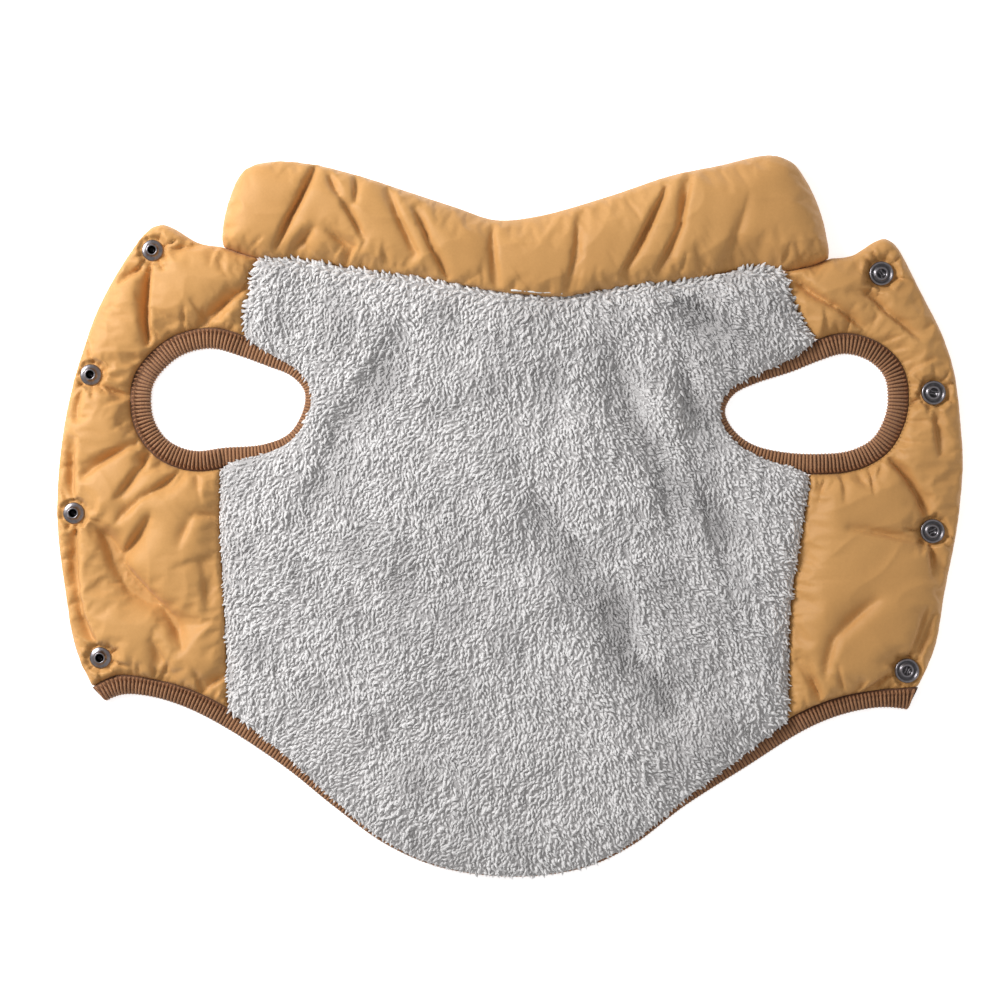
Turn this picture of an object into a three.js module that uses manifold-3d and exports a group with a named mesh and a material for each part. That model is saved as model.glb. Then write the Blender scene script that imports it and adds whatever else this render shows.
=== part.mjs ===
// A small dog's padded winter coat, unbuttoned and laid out flat with its fleece lining up.
// Millimetres. X runs across the coat, Y from the tail to the collar, and Z up from the surface it lies on.
// "Left" and "right" are as seen from above. The origin is under the middle of the coat's outline.
import * as THREE from 'three';
import { mergeVertices } from 'three/addons/utils/BufferGeometryUtils.js';
import Module from 'manifold-3d';

const wasm = await Module();
wasm.setup();

// Driving sizes of the cloth.
const SEAM_GAP = 0.4;
const SHELL_THICKNESS = 2.6;
const LINING_UNDERSIDE = SHELL_THICKNESS + SEAM_GAP;
const PILE_EDGE = 3.2;
const PILE_CROWN = 6.2;
const PILE_REACH = 9;
const FRONT_EDGE = 2.2;
const FRONT_CROWN = 8.6;
const FRONT_REACH = 14;
const COLLAR_EDGE = 2.6;
const COLLAR_CROWN = 14;
const COLLAR_REACH = 17;
const LEAST_CLOTH = 1.8;

// Driving sizes of the ribbed knit bindings.
const ARMHOLE_BAND = 10;
const ARMHOLE_BAND_SHOWN = 4;
const HEM_SHOWN_AT_TAIL = 1.2;
const HEM_SHOWN_AT_SEAM = 8.5;
const BAND_HIGH = 4.2;
const BAND_LOW = SHELL_THICKNESS - 0.1;
const BAND_RAMP = 14;
const RIB_PITCH = 3;
const RIB_RELIEF = 0.45;
const TURNED_END = 15;
const TURNED_EXTRA = 1.6;

// Driving sizes of the snap fasteners and of the pits that they pinch into the padding.
const STUD_RADIUS = 5;
const SOCKET_RADIUS = 5.6;
const SNAP_SEAT = 3.4;
const PIT_MARGIN = 1;
const PIT_FLARE = 5;
const PIT_HEIGHT = 5.5;

// The neck label, a strip of tape that stands in the seam between the collar and the lining.
const LABEL = { x: 0.5, y: 105.9, toX: 24.5, toY: 104.4, thickness: 0.7, foot: 3.4, height: 5.6 };

// Where the seam lines, edges and holes run. Each row is one point of a smooth line.
const NECK_SEAM = [
  { x: -136, y: 127 }, { x: -118.5, y: 121.5 }, { x: -96, y: 120 }, { x: -70, y: 115.5 },
  { x: -37.5, y: 111 }, { x: -2.5, y: 105 }, { x: 23.5, y: 103 }, { x: 53.5, y: 107.5 },
  { x: 89.5, y: 111.5 }, { x: 114.5, y: 117 }, { x: 129, y: 115.5 }, { x: 142.5, y: 118 }, { x: 151, y: 121.5 },
];
const COLLAR_TOP = [
  { x: -136, y: 127 }, { x: -134.5, y: 140.5 }, { x: -131, y: 152.5 }, { x: -125.5, y: 162.5 },
  { x: -116.5, y: 166.5 }, { x: -95, y: 166 }, { x: -70, y: 160 }, { x: -48.5, y: 153 }, { x: -24, y: 145 },
  { x: -7, y: 139.5 }, { x: 14, y: 141.5 }, { x: 47.5, y: 151 }, { x: 76, y: 160.5 }, { x: 98, y: 165 },
  { x: 122, y: 170 }, { x: 132.5, y: 167 }, { x: 141, y: 155.5 }, { x: 147, y: 141 }, { x: 151, y: 121.5 },
];
const HEM = [
  { x: -190.5, y: -87.5, innerX: -196.5, innerY: -80.5 },
  { x: -182.5, y: -84.5, innerX: -185.5, innerY: -75 },
  { x: -169, y: -85.5, innerX: -167, innerY: -77 },
  { x: -153, y: -90.5, innerX: -149.5, innerY: -82 },
  { x: -134.5, y: -100, innerX: -130, innerY: -92 },
  { x: -106, y: -119, innerX: -101, innerY: -111.5 },
  { x: -83, y: -137.5, innerX: -77.5, innerY: -130.5 },
  { x: -59, y: -155, innerX: -54.5, innerY: -147 },
  { x: -33, y: -166, innerX: -30.5, innerY: -157.5 },
  { x: 2.5, y: -170.5, innerX: 2, innerY: -161.5 },
  { x: 36, y: -166, innerX: 33, innerY: -157.5 },
  { x: 59, y: -155, innerX: 54, innerY: -147.5 },
  { x: 82, y: -137.5, innerX: 77, innerY: -130 },
  { x: 111, y: -119, innerX: 106.5, innerY: -111.5 },
  { x: 141.5, y: -100, innerX: 138.5, innerY: -91.5 },
  { x: 160, y: -93, innerX: 158, innerY: -84.5 },
  { x: 176, y: -90.5, innerX: 177, innerY: -81.5 },
  { x: 186.5, y: -91.5, innerX: 192, innerY: -80.5 },
];

const SIDES = [
  {
    name: 'left',
    outward: -1,
    // The free edge of the front, from the end of the collar over the top corner and down to the hem.
    frontEdge: [
      { x: -136, y: 127 }, { x: -146.5, y: 128.5 }, { x: -159, y: 136 }, { x: -165.5, y: 137.8 },
      { x: -171, y: 134 }, { x: -183.5, y: 117 }, { x: -194, y: 97.5 }, { x: -202, y: 75 }, { x: -208.5, y: 50.5 },
      { x: -212.5, y: 22 }, { x: -213, y: -6 }, { x: -209.5, y: -34.5 }, { x: -204.5, y: -62.5 },
      { x: -196.5, y: -80.5 },
    ],
    // The leg hole, from its front end over the top to the back.
    hole: [
      { x: -168.5, y: 53.5 }, { x: -167.5, y: 62 }, { x: -161, y: 70.5 }, { x: -153, y: 76 }, { x: -140.5, y: 78.5 },
      { x: -127.5, y: 75 }, { x: -114, y: 70 }, { x: -104, y: 66 }, { x: -97.5, y: 59 }, { x: -98, y: 50.5 },
      { x: -104.5, y: 39.5 }, { x: -116.5, y: 34.5 }, { x: -134.5, y: 33 }, { x: -149, y: 31.5 },
      { x: -160.5, y: 36 }, { x: -167, y: 45 },
    ],
    upperSeam: [{ x: -125, y: 84.5 }, { x: -125, y: 94 }, { x: -121.5, y: 108 }, { x: -118.5, y: 121.5 }],
    lowerSeam: [{ x: -136, y: 23 }, { x: -136, y: -4 }, { x: -133.5, y: -53.5 }, { x: -132, y: -91 }],
    snaps: [{ x: -168, y: 125 }, { x: -197, y: 66.5 }, { x: -205, y: 1.5 }, { x: -192.5, y: -66.5 }],
  },
  {
    name: 'right',
    outward: 1,
    frontEdge: [
      { x: 151, y: 121.5 }, { x: 161, y: 122.5 }, { x: 172, y: 129.5 }, { x: 178, y: 131 }, { x: 183.5, y: 125 },
      { x: 193, y: 106.5 }, { x: 202.5, y: 88 }, { x: 209, y: 69 }, { x: 212.5, y: 41 }, { x: 213.3, y: 22 },
      { x: 210.5, y: -6 }, { x: 205, y: -34.5 }, { x: 200, y: -62.5 }, { x: 192, y: -80.5 },
    ],
    hole: [
      { x: 177.5, y: 54 }, { x: 176, y: 65.5 }, { x: 168.5, y: 73 }, { x: 157.5, y: 76 }, { x: 145.5, y: 72.5 },
      { x: 133, y: 67.5 }, { x: 116, y: 62 }, { x: 106, y: 57 }, { x: 102, y: 49.5 }, { x: 106, y: 41 },
      { x: 114.5, y: 34.5 }, { x: 128, y: 31 }, { x: 145, y: 30 }, { x: 160, y: 31.5 }, { x: 170.5, y: 37 },
      { x: 176, y: 46.5 },
    ],
    upperSeam: [{ x: 144.5, y: 82 }, { x: 137.5, y: 91.5 }, { x: 131.5, y: 104.5 }, { x: 129, y: 115.5 }],
    lowerSeam: [{ x: 141, y: 21 }, { x: 136.5, y: -11 }, { x: 131.5, y: -45 }, { x: 129.5, y: -94 }],
    snaps: [{ x: 174.5, y: 114 }, { x: 199, y: 58 }, { x: 198.5, y: -7 }, { x: 186.5, y: -72.5 }],
  },
];

// The largest creases. Each row is a soft valley from (x, y) to (toX, toY), with its half width and depth.
const FRONT_FOLDS = {
  left: [
    { x: -169, y: 118, toX: -170.5, toY: 80, width: 3.5, depth: 3.2 },
    { x: -147, y: 88, toX: -122, toY: 117, width: 4, depth: 3 },
    { x: -176, y: 34, toX: -203, toY: 14, width: 4, depth: 2.2 },
    { x: -170, y: 29, toX: -184, toY: -14, width: 4, depth: 2.6 },
    { x: -154, y: 23, toX: -178, toY: 8, width: 3.5, depth: 1.8 },
    { x: -194, y: -7, toX: -161, toY: -47, width: 5, depth: 3.4 },
    { x: -161, y: -47, toX: -151, toY: -66, width: 4.5, depth: 2.2 },
    { x: -205, y: 1, toX: -197, toY: -60, width: 4, depth: 2.2 },
    { x: -198, y: 64, toX: -205, toY: 6, width: 4, depth: 1.8 },
    { x: -168, y: -58, toX: -156, toY: -75, width: 4, depth: 1.8 },
  ],
  right: [
    { x: 132, y: 114, toX: 166, toY: 85, width: 4, depth: 3 },
    { x: 175, y: 108, toX: 183, toY: 86, width: 4, depth: 2 },
    { x: 178, y: 28, toX: 195, toY: 0, width: 4, depth: 3.2 },
    { x: 188, y: 35, toX: 207, toY: 27, width: 3.5, depth: 1.6 },
    { x: 156, y: -6, toX: 190, toY: -14, width: 4.5, depth: 2.2 },
    { x: 198.5, y: -14, toX: 190, toY: -64, width: 4.5, depth: 2.4 },
    { x: 168, y: -37, toX: 150, toY: -60, width: 5.5, depth: 2.2 },
    { x: 132, y: -43, toX: 147, toY: -86, width: 4.5, depth: 2 },
    { x: 199, y: 52, toX: 200, toY: 0, width: 4.5, depth: 1.8 },
  ],
};
const COLLAR_FOLDS = [
  { x: -94, y: 165, toX: -112, toY: 124, width: 4, depth: 5 },
  { x: -84, y: 158, toX: -69, toY: 131, width: 4, depth: 3.2 },
  { x: -60, y: 153, toX: -31, toY: 113, width: 4.5, depth: 3.4 },
  { x: -8, y: 141, toX: -4, toY: 108, width: 5, depth: 3.6 },
  { x: 26, y: 143, toX: 22, toY: 112, width: 5, depth: 2.4 },
  { x: 72, y: 156, toX: 52, toY: 118, width: 4.5, depth: 4.4 },
  { x: 87, y: 161, toX: 76, toY: 128, width: 4, depth: 2.8 },
  { x: 114, y: 134, toX: 100, toY: 117, width: 4.5, depth: 2 },
];
const LINING_FOLDS = [
  { x: 50, y: 72, toX: 68, toY: 28, width: 8, depth: 2.6 },
  { x: 68, y: 28, toX: 76, toY: -8, width: 8, depth: 1.8 },
  { x: 5, y: 20, toX: 50, toY: -36, width: 9, depth: 2.8 },
  { x: 50, y: -36, toX: 85, toY: -100, width: 8, depth: 2.8 },
  { x: 98, y: 80, toX: 84, toY: 66, width: 8, depth: 2.6 },
  { x: 84, y: 66, toX: 98, toY: -28, width: 7, depth: 2 },
  { x: -30, y: 86, toX: -80, toY: 38, width: 9, depth: 2 },
  { x: -80, y: 38, toX: -96, toY: -4, width: 9, depth: 1.8 },
];

// Lines

const LINE_STEP = 0.5;

function pointOf(row) {
  return new THREE.Vector2(row.x, row.y);
}

function innerPointOf(row) {
  return new THREE.Vector2(row.innerX, row.innerY);
}

// A smooth line through the points, as closely spaced points.
function smoothLine(points, closed = false) {
  const curve = new THREE.CatmullRomCurve3(
    points.map((p) => new THREE.Vector3(p.x, p.y, 0)),
    closed,
    'centripetal',
  );
  const count = Math.ceil(curve.getLength() / LINE_STEP);
  const line = curve.getSpacedPoints(count).map((p) => new THREE.Vector2(p.x, p.y));
  return closed ? line.slice(0, -1) : line;
}

function lengthOf(line) {
  let sum = 0;
  for (let i = 1; i < line.length; i++) sum += line[i].distanceTo(line[i - 1]);
  return sum;
}

// The same line with a given number of equal steps.
function resample(line, steps) {
  const stepLength = lengthOf(line) / steps;
  const out = [line[0].clone()];
  let walked = 0;
  for (let i = 1; i < line.length; i++) {
    const step = line[i].distanceTo(line[i - 1]);
    while (out.length < steps && walked + step >= stepLength * out.length) {
      const share = (stepLength * out.length - walked) / step;
      out.push(line[i - 1].clone().lerp(line[i], share));
    }
    walked += step;
  }
  out.push(line.at(-1).clone());
  return out;
}

// Lines joined end to end, resampled so that every joint keeps a point of its own.
function resampleChain(lines, steps) {
  const total = lines.reduce((sum, line) => sum + lengthOf(line), 0);
  const out = [];
  lines.forEach((line, i) => {
    const isLast = i === lines.length - 1;
    const share = isLast ? steps - out.length : Math.max(1, Math.round((steps * lengthOf(line)) / total));
    const part = resample(line, share);
    out.push(...(isLast ? part : part.slice(0, -1)));
  });
  return out;
}

// A line moved sideways. The distance is a function of the share of the way along it.
function moved(line, distanceAt, side, closed = false) {
  const n = line.length;
  return line.map((p, i) => {
    const before = line[closed ? (i - 1 + n) % n : Math.max(i - 1, 0)];
    const after = line[closed ? (i + 1) % n : Math.min(i + 1, n - 1)];
    const along = after.clone().sub(before).normalize();
    const across = new THREE.Vector2(along.y, -along.x).multiplyScalar(side);
    return p.clone().addScaledVector(across, distanceAt(i / (n - 1)));
  });
}

function nearestIndex(line, point) {
  let best = 0;
  line.forEach((p, i) => {
    if (p.distanceToSquared(point) < line[best].distanceToSquared(point)) best = i;
  });
  return best;
}

// The stretch of an open line from the point nearest to a, to the point nearest to b.
function stretch(line, a, b) {
  const i = nearestIndex(line, a);
  const j = nearestIndex(line, b);
  return i <= j ? line.slice(i, j + 1) : line.slice(j, i + 1).reverse();
}

// The stretch of a closed line from a to b, going forwards or backwards round it.
function roundStretch(line, a, b, forwards) {
  const n = line.length;
  const i = nearestIndex(line, a);
  const j = nearestIndex(line, b);
  const steps = forwards ? (j - i + n) % n : (i - j + n) % n;
  const out = [];
  for (let k = 0; k <= steps; k++) out.push(line[forwards ? (i + k) % n : (i - k + n) % n].clone());
  return out;
}

function distanceToSegment(p, a, b) {
  const along = b.clone().sub(a);
  const share = THREE.MathUtils.clamp(p.clone().sub(a).dot(along) / along.lengthSq(), 0, 1);
  return { distance: p.distanceTo(a.clone().addScaledVector(along, share)), share };
}

function distanceToLoop(p, loop) {
  return Math.min(...loop.map((a, i) => distanceToSegment(p, a, loop[(i + 1) % loop.length]).distance));
}

// Cloth pieces

// How far a padded surface has risen at a distance from its seam: a quarter of an ellipse.
function rise(distance, reach) {
  return Math.sqrt(1 - (1 - Math.min(distance / reach, 1)) ** 2);
}

// The depth of all creases at a point. A crease fades towards its ends.
function foldDepth(p, folds) {
  let depth = 0;
  for (const fold of folds) {
    const a = new THREE.Vector2(fold.x, fold.y);
    const b = new THREE.Vector2(fold.toX, fold.toY);
    const { distance, share } = distanceToSegment(p, a, b);
    const fade = 0.55 + 0.45 * Math.sin(Math.PI * share);
    depth += fold.depth * fade * Math.exp(-((distance / fold.width) ** 2));
  }
  return depth;
}

// Rows of the patch lie closer together near its edges, where the padding rises.
function edgeWeighted(share) {
  return THREE.MathUtils.lerp(share, (1 - Math.cos(Math.PI * share)) / 2, 0.75);
}

// A grid of points filled in between four edges that share their corners.
function patch({ near, far, start, end }, rows, columns) {
  const nearLine = resampleChain(near, rows);
  const farLine = resampleChain(far, rows);
  const weights = Array.from({ length: columns + 1 }, (_, j) => edgeWeighted(j / columns));
  const along = (line, share) => {
    const at = share * (line.length - 1);
    const i = Math.min(Math.floor(at), line.length - 2);
    return line[i].clone().lerp(line[i + 1], at - i);
  };
  const corner = [nearLine[0], farLine[0], nearLine[rows], farLine[rows]];
  const grid = [];
  for (let i = 0; i <= rows; i++) {
    const u = i / rows;
    grid.push(weights.map((v) => {
      const p = nearLine[i].clone().multiplyScalar(1 - v).addScaledVector(farLine[i], v);
      p.addScaledVector(along(start, v), 1 - u).addScaledVector(along(end, v), u);
      p.addScaledVector(corner[0], -(1 - u) * (1 - v)).addScaledVector(corner[1], -(1 - u) * v);
      return p.addScaledVector(corner[2], -u * (1 - v)).addScaledVector(corner[3], -u * v);
    }));
  }
  return grid;
}

// The grid's outer points in order, as [row, column] pairs.
function rimOf(rows, columns) {
  const rim = [];
  for (let i = 0; i < rows; i++) rim.push([i, 0]);
  for (let j = 0; j < columns; j++) rim.push([rows, j]);
  for (let i = rows; i > 0; i--) rim.push([i, columns]);
  for (let j = columns; j > 0; j--) rim.push([0, j]);
  return rim;
}

// Half the seam gap is taken off each piece all round.
function insetRim(grid, rim) {
  const loop = rim.map(([i, j]) => grid[i][j]);
  const side = THREE.ShapeUtils.isClockWise(loop) ? 1 : -1;
  const inset = moved(loop, () => SEAM_GAP / 2, side, true);
  rim.forEach(([i, j], k) => grid[i][j].copy(inset[k]));
  return inset;
}

function solidFrom(positions, triangles) {
  const geometry = new THREE.BufferGeometry();
  geometry.setAttribute('position', new THREE.Float32BufferAttribute(positions, 3));
  geometry.setIndex(triangles);
  return geometry;
}

// A piece of cloth: a flat underside at one height, a wall at its rim, and a top that follows a height function.
function clothPiece(edges, { rows, columns, underside, top }) {
  const grid = patch(edges, rows, columns);
  const rim = rimOf(rows, columns);
  const loop = insetRim(grid, rim);
  const clockwise = THREE.ShapeUtils.isClockWise(loop);
  const positions = [];
  const triangles = [];
  const face = (a, b, c) => triangles.push(...(clockwise ? [a, c, b] : [a, b, c]));
  const topIndex = (i, j) => i * (columns + 1) + j;
  for (const line of grid) {
    for (const p of line) positions.push(p.x, p.y, top(p, distanceToLoop(p, loop)));
  }
  for (let i = 0; i < rows; i++) {
    for (let j = 0; j < columns; j++) {
      const [a, b, c, d] = [topIndex(i, j), topIndex(i + 1, j), topIndex(i + 1, j + 1), topIndex(i, j + 1)];
      face(a, b, c);
      face(a, c, d);
    }
  }
  const firstBelow = positions.length / 3;
  for (const p of loop) positions.push(p.x, p.y, underside);
  rim.forEach(([i, j], k) => {
    const next = (k + 1) % rim.length;
    const [nextI, nextJ] = rim[next];
    face(topIndex(i, j), firstBelow + k, firstBelow + next);
    face(topIndex(i, j), firstBelow + next, topIndex(nextI, nextJ));
  });
  for (const [a, b, c] of THREE.ShapeUtils.triangulateShape(loop, [])) {
    const turn = loop[b].clone().sub(loop[a]).cross(loop[c].clone().sub(loop[a]));
    const ordered = turn > 0 ? [c, b, a] : [a, b, c];
    triangles.push(...ordered.map((k) => firstBelow + k));
  }
  return solidFrom(positions, triangles);
}

// A piece of even thickness, straight from its outline.
function flatPiece(edges, { rimStep, height }) {
  const rim = edges.flatMap((edge) => resample(edge, Math.ceil(lengthOf(edge) / rimStep)).slice(0, -1));
  const side = THREE.ShapeUtils.isClockWise(rim) ? 1 : -1;
  const loop = moved(rim, () => SEAM_GAP / 2, side, true);
  if (side === 1) loop.reverse();
  const n = loop.length;
  const positions = [0, height].flatMap((z) => loop.flatMap((p) => [p.x, p.y, z]));
  const triangles = [];
  for (let k = 0; k < n; k++) {
    const next = (k + 1) % n;
    triangles.push(k, next, n + next, k, n + next, n + k);
  }
  for (const [a, b, c] of THREE.ShapeUtils.triangulateShape(loop, [])) {
    triangles.push(n + a, n + b, n + c, a, c, b);
  }
  return solidFrom(positions, triangles);
}

// Joining and cutting

function toManifold(geometry) {
  const bare = geometry.clone();
  bare.deleteAttribute('normal');
  bare.deleteAttribute('uv');
  const merged = mergeVertices(bare, 1e-4);
  return new wasm.Manifold(
    new wasm.Mesh({
      numProp: 3,
      vertProperties: merged.attributes.position.array,
      triVerts: new Uint32Array(merged.index.array),
    }),
  );
}

function fromManifold(solid) {
  const mesh = solid.getMesh();
  return solidFrom(Array.from(mesh.vertProperties), Array.from(mesh.triVerts));
}

// A solid of revolution about Z from a table of radii and heights that starts and ends on the axis.
function turned(profile, segments) {
  const points = profile.map((row) => new THREE.Vector2(row.r, row.z));
  return new THREE.LatheGeometry(points, segments).rotateX(Math.PI / 2);
}

// The pit that a snap pinches into the padding, as the tool that cuts it.
function pitTool(snap, radius) {
  const floor = radius + PIT_MARGIN;
  const clear = COLLAR_CROWN * 2;
  const tool = turned(
    [
      { r: 0, z: SNAP_SEAT },
      { r: floor, z: SNAP_SEAT },
      { r: floor + PIT_FLARE, z: SNAP_SEAT + PIT_HEIGHT },
      { r: floor + PIT_FLARE, z: clear },
      { r: 0, z: clear },
    ],
    16,
  );
  return toManifold(tool.translate(snap.x, snap.y, 0));
}

// Ribbed bindings

// A band between two lines, with a rib at every pitch. The height along it is a function of the station.
function ribbedBand(outerLine, innerLine, closed, heightAt) {
  const ribs = Math.round(lengthOf(closed ? [...outerLine, outerLine[0]] : outerLine) / RIB_PITCH);
  const steps = ribs * 2;
  const closeUp = (line) => (closed ? [...line, line[0]] : line);
  const outer = resample(closeUp(outerLine), steps);
  const inner = resample(closeUp(innerLine), steps);
  const stations = closed ? steps : steps + 1;
  const positions = [];
  const triangles = [];
  // Across the band, from the open edge to the seam: share of the width, share of the height.
  const section = [
    { across: 0.04, up: 0 },
    { across: 0, up: 0.55 },
    { across: 0.24, up: 1 },
    { across: 1, up: 0.85 },
    { across: 1, up: 0 },
  ];
  for (let k = 0; k < stations; k++) {
    const crest = k % 2 === 0 ? 0 : RIB_RELIEF;
    const height = heightAt(inner[k]) - crest;
    const width = outer[k].distanceTo(inner[k]);
    for (const row of section) {
      const share = row.across === 0 ? (crest * 0.6) / width : row.across;
      const p = outer[k].clone().lerp(inner[k], share);
      positions.push(p.x, p.y, row.up * height);
    }
  }
  const n = section.length;
  const links = closed ? stations : stations - 1;
  for (let k = 0; k < links; k++) {
    const next = ((k + 1) % stations) * n;
    for (let j = 0; j < n; j++) {
      const [a, b] = [k * n + j, k * n + ((j + 1) % n)];
      const [c, d] = [next + j, next + ((j + 1) % n)];
      triangles.push(a, c, b, b, c, d);
    }
  }
  if (!closed) {
    for (let j = 1; j < n - 1; j++) {
      const last = (stations - 1) * n;
      triangles.push(0, j, j + 1);
      triangles.push(last, last + j + 1, last + j);
    }
  }
  const geometry = solidFrom(positions, triangles);
  return toManifold(geometry).volume() < 0 ? flipped(geometry) : geometry;
}

function flipped(geometry) {
  const index = Array.from(geometry.index.array);
  for (let i = 0; i < index.length; i += 3) [index[i + 1], index[i + 2]] = [index[i + 2], index[i + 1]];
  geometry.setIndex(index);
  return geometry;
}

// Lines of this coat

const neckSeam = smoothLine(NECK_SEAM.map(pointOf));
const collarTop = smoothLine(COLLAR_TOP.map(pointOf));
const hemOuter = smoothLine(HEM.map(pointOf));
const hemInner = smoothLine(HEM.map(innerPointOf));
const middleOf = (a, b) => (share) => THREE.MathUtils.lerp(a, b, Math.sin(Math.PI * share) ** 0.6);

// The lines of one side, each cut to the stretch between its corners.
const sides = SIDES.map((side) => {
  const hole = smoothLine(side.hole.map(pointOf), true);
  const bandEdge = moved(hole, () => ARMHOLE_BAND, side.outward, true);
  const seamEdge = moved(hole, () => ARMHOLE_BAND + SEAM_GAP / 2, side.outward, true);
  const top = seamEdge[nearestIndex(seamEdge, pointOf(side.upperSeam[0]))];
  const bottom = seamEdge[nearestIndex(seamEdge, pointOf(side.lowerSeam[0]))];
  const neck = neckSeam[nearestIndex(neckSeam, pointOf(side.upperSeam.at(-1)))];
  const hem = hemInner[nearestIndex(hemInner, pointOf(side.lowerSeam.at(-1)))];
  const upperSeam = smoothLine([top, ...side.upperSeam.slice(1, -1).map(pointOf), neck]);
  const lowerSeam = smoothLine([bottom, ...side.lowerSeam.slice(1, -1).map(pointOf), hem]);
  const collarEnd = pointOf(side.frontEdge[0]);
  const hemEnd = pointOf(side.frontEdge.at(-1));
  const holeTop = hole[nearestIndex(hole, top)];
  const holeBottom = hole[nearestIndex(hole, bottom)];
  const backOfHole = roundStretch(hole, holeTop, holeBottom, true);
  return {
    ...side,
    holeLine: hole,
    bandEdge,
    corners: { top, bottom, neck, hem },
    upperSeam,
    lowerSeam,
    frontOfArmhole: roundStretch(seamEdge, top, bottom, false),
    backOfArmhole: roundStretch(seamEdge, top, bottom, true),
    // The fleece covers part of the band, most of it at the back of the leg hole.
    fleeceAtArmhole: [
      top,
      ...moved(backOfHole, middleOf(ARMHOLE_BAND + SEAM_GAP / 2, ARMHOLE_BAND_SHOWN), side.outward).slice(1, -1),
      bottom,
    ],
    outerEdge: [
      stretch(neckSeam, neck, collarEnd),
      smoothLine(side.frontEdge.map(pointOf)),
      stretch(hemInner, hemEnd, hem),
    ],
  };
});
const [left, right] = sides;

// Heights

const frontTop = (folds) => (p, distance) => {
  const padding = FRONT_EDGE + (FRONT_CROWN - FRONT_EDGE) * rise(distance, FRONT_REACH);
  return Math.max(padding - foldDepth(p, folds) * rise(distance, 6), LEAST_CLOTH);
};

const collarTopHeight = (p, distance) => {
  const padding = COLLAR_EDGE + (COLLAR_CROWN - COLLAR_EDGE) * rise(distance, COLLAR_REACH);
  return Math.max(padding - foldDepth(p, COLLAR_FOLDS) * rise(distance, 8), COLLAR_EDGE);
};

const liningTop = (p, distance) => {
  const pile = PILE_EDGE + (PILE_CROWN - PILE_EDGE) * rise(distance, PILE_REACH);
  const waves = 0.5 * Math.sin(p.x / 17 + p.y / 23) + 0.4 * Math.sin(p.y / 14 - p.x / 31);
  const folds = foldDepth(p, LINING_FOLDS);
  return LINING_UNDERSIDE + Math.max(pile + (waves - folds) * rise(distance, 12), LEAST_CLOTH);
};

// The bindings are thinner where the fleece lies over them, between the side seams. The hem's is turned over
// at both ends, which makes it thicker there.
function hemHeight(p) {
  const past = Math.max(left.corners.hem.x - p.x, p.x - right.corners.hem.x, 0);
  const fromEnd = Math.min(hemInner[0].distanceTo(p), hemInner.at(-1).distanceTo(p));
  const turned = fromEnd < TURNED_END ? TURNED_EXTRA : 0;
  return THREE.MathUtils.lerp(BAND_LOW, BAND_HIGH, Math.min(past / BAND_RAMP, 1)) + turned;
}

const armholeHeight = (side) => {
  const back = resample(side.backOfArmhole, 60);
  return (p) => {
    const away = Math.min(...back.map((q) => q.distanceTo(p)));
    const past = Math.max(away - SEAM_GAP - RIB_PITCH, 0);
    return THREE.MathUtils.lerp(BAND_LOW, BAND_HIGH, Math.min(past / BAND_RAMP, 1));
  };
};

// The pieces

const pieces = new THREE.Group();

function finish(color, roughness, metalness = 0) {
  return new THREE.MeshStandardMaterial({ color, roughness, metalness });
}

const nylon = finish('#c89858', 0.5);
const fleece = finish('#bbb8b6', 1);
const knit = finish('#8a5f42', 0.9);
const gunmetal = finish('#6d6a70', 0.35, 1);
const tape = finish('#ece8dc', 0.8);

function add(name, geometry, material) {
  const mesh = new THREE.Mesh(geometry, material);
  mesh.name = name;
  pieces.add(mesh);
}

// The back's outer shell, with its wadding, lies under the fleece.
const acrossBack = (leftEdge, rightEdge, hemEdge) => ({
  near: leftEdge,
  far: rightEdge,
  start: stretch(neckSeam, left.corners.neck, right.corners.neck),
  end: hemEdge,
});
const sideLine = (side, armhole) => [side.upperSeam.slice().reverse(), armhole, side.lowerSeam];
add(
  'back_shell',
  flatPiece(
    [
      ...sideLine(left, left.backOfArmhole),
      stretch(hemInner, left.corners.hem, right.corners.hem),
      ...sideLine(right, right.backOfArmhole).map((line) => line.slice().reverse()).reverse(),
      stretch(neckSeam, right.corners.neck, left.corners.neck),
    ],
    { rimStep: 5, height: SHELL_THICKNESS },
  ),
  nylon,
);

// The fleece lining laps over the bindings of the leg holes and of the hem.
const tailShown = (share) =>
  HEM_SHOWN_AT_TAIL + (HEM_SHOWN_AT_SEAM - HEM_SHOWN_AT_TAIL) * (1 - Math.sin(Math.PI * share)) ** 1.2;
const hemUnderFleece = stretch(hemOuter, left.corners.hem, right.corners.hem);
const fleeceHem = [
  left.corners.hem,
  ...moved(hemUnderFleece, tailShown, -1).slice(4, -4),
  right.corners.hem,
];
add(
  'back_lining',
  clothPiece(
    acrossBack(sideLine(left, left.fleeceAtArmhole), sideLine(right, right.fleeceAtArmhole), fleeceHem),
    { rows: 36, columns: 32, underside: LINING_UNDERSIDE, top: liningTop },
  ),
  fleece,
);

// The two fronts run from the back seams, round the leg holes, to the snapped edges.
for (const side of sides) {
  const radius = side === left ? STUD_RADIUS : SOCKET_RADIUS;
  const front = clothPiece(
    { near: [side.frontOfArmhole], far: side.outerEdge, start: side.upperSeam, end: side.lowerSeam },
    { rows: 60, columns: 11, underside: 0, top: frontTop(FRONT_FOLDS[side.name]) },
  );
  const pits = side.snaps.map((snap) => pitTool(snap, radius));
  const cut = pits.reduce((solid, pit) => solid.subtract(pit), toManifold(front));
  add(`front_${side.name}`, fromManifold(cut), nylon);
}

// A strip of tape, or the slot for it when it is grown by a gap.
function labelSolid(grow) {
  const from = pointOf(LABEL);
  const along = new THREE.Vector2(LABEL.toX, LABEL.toY).sub(from);
  const height = LABEL.height + (grow ? COLLAR_CROWN : 0);
  const box = new THREE.BoxGeometry(along.length() + 2 * grow, LABEL.thickness + 2 * grow, height);
  box.rotateZ(along.angle());
  const middle = from.clone().addScaledVector(along, 0.5);
  return box.translate(middle.x, middle.y, LABEL.foot - grow + height / 2);
}

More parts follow.
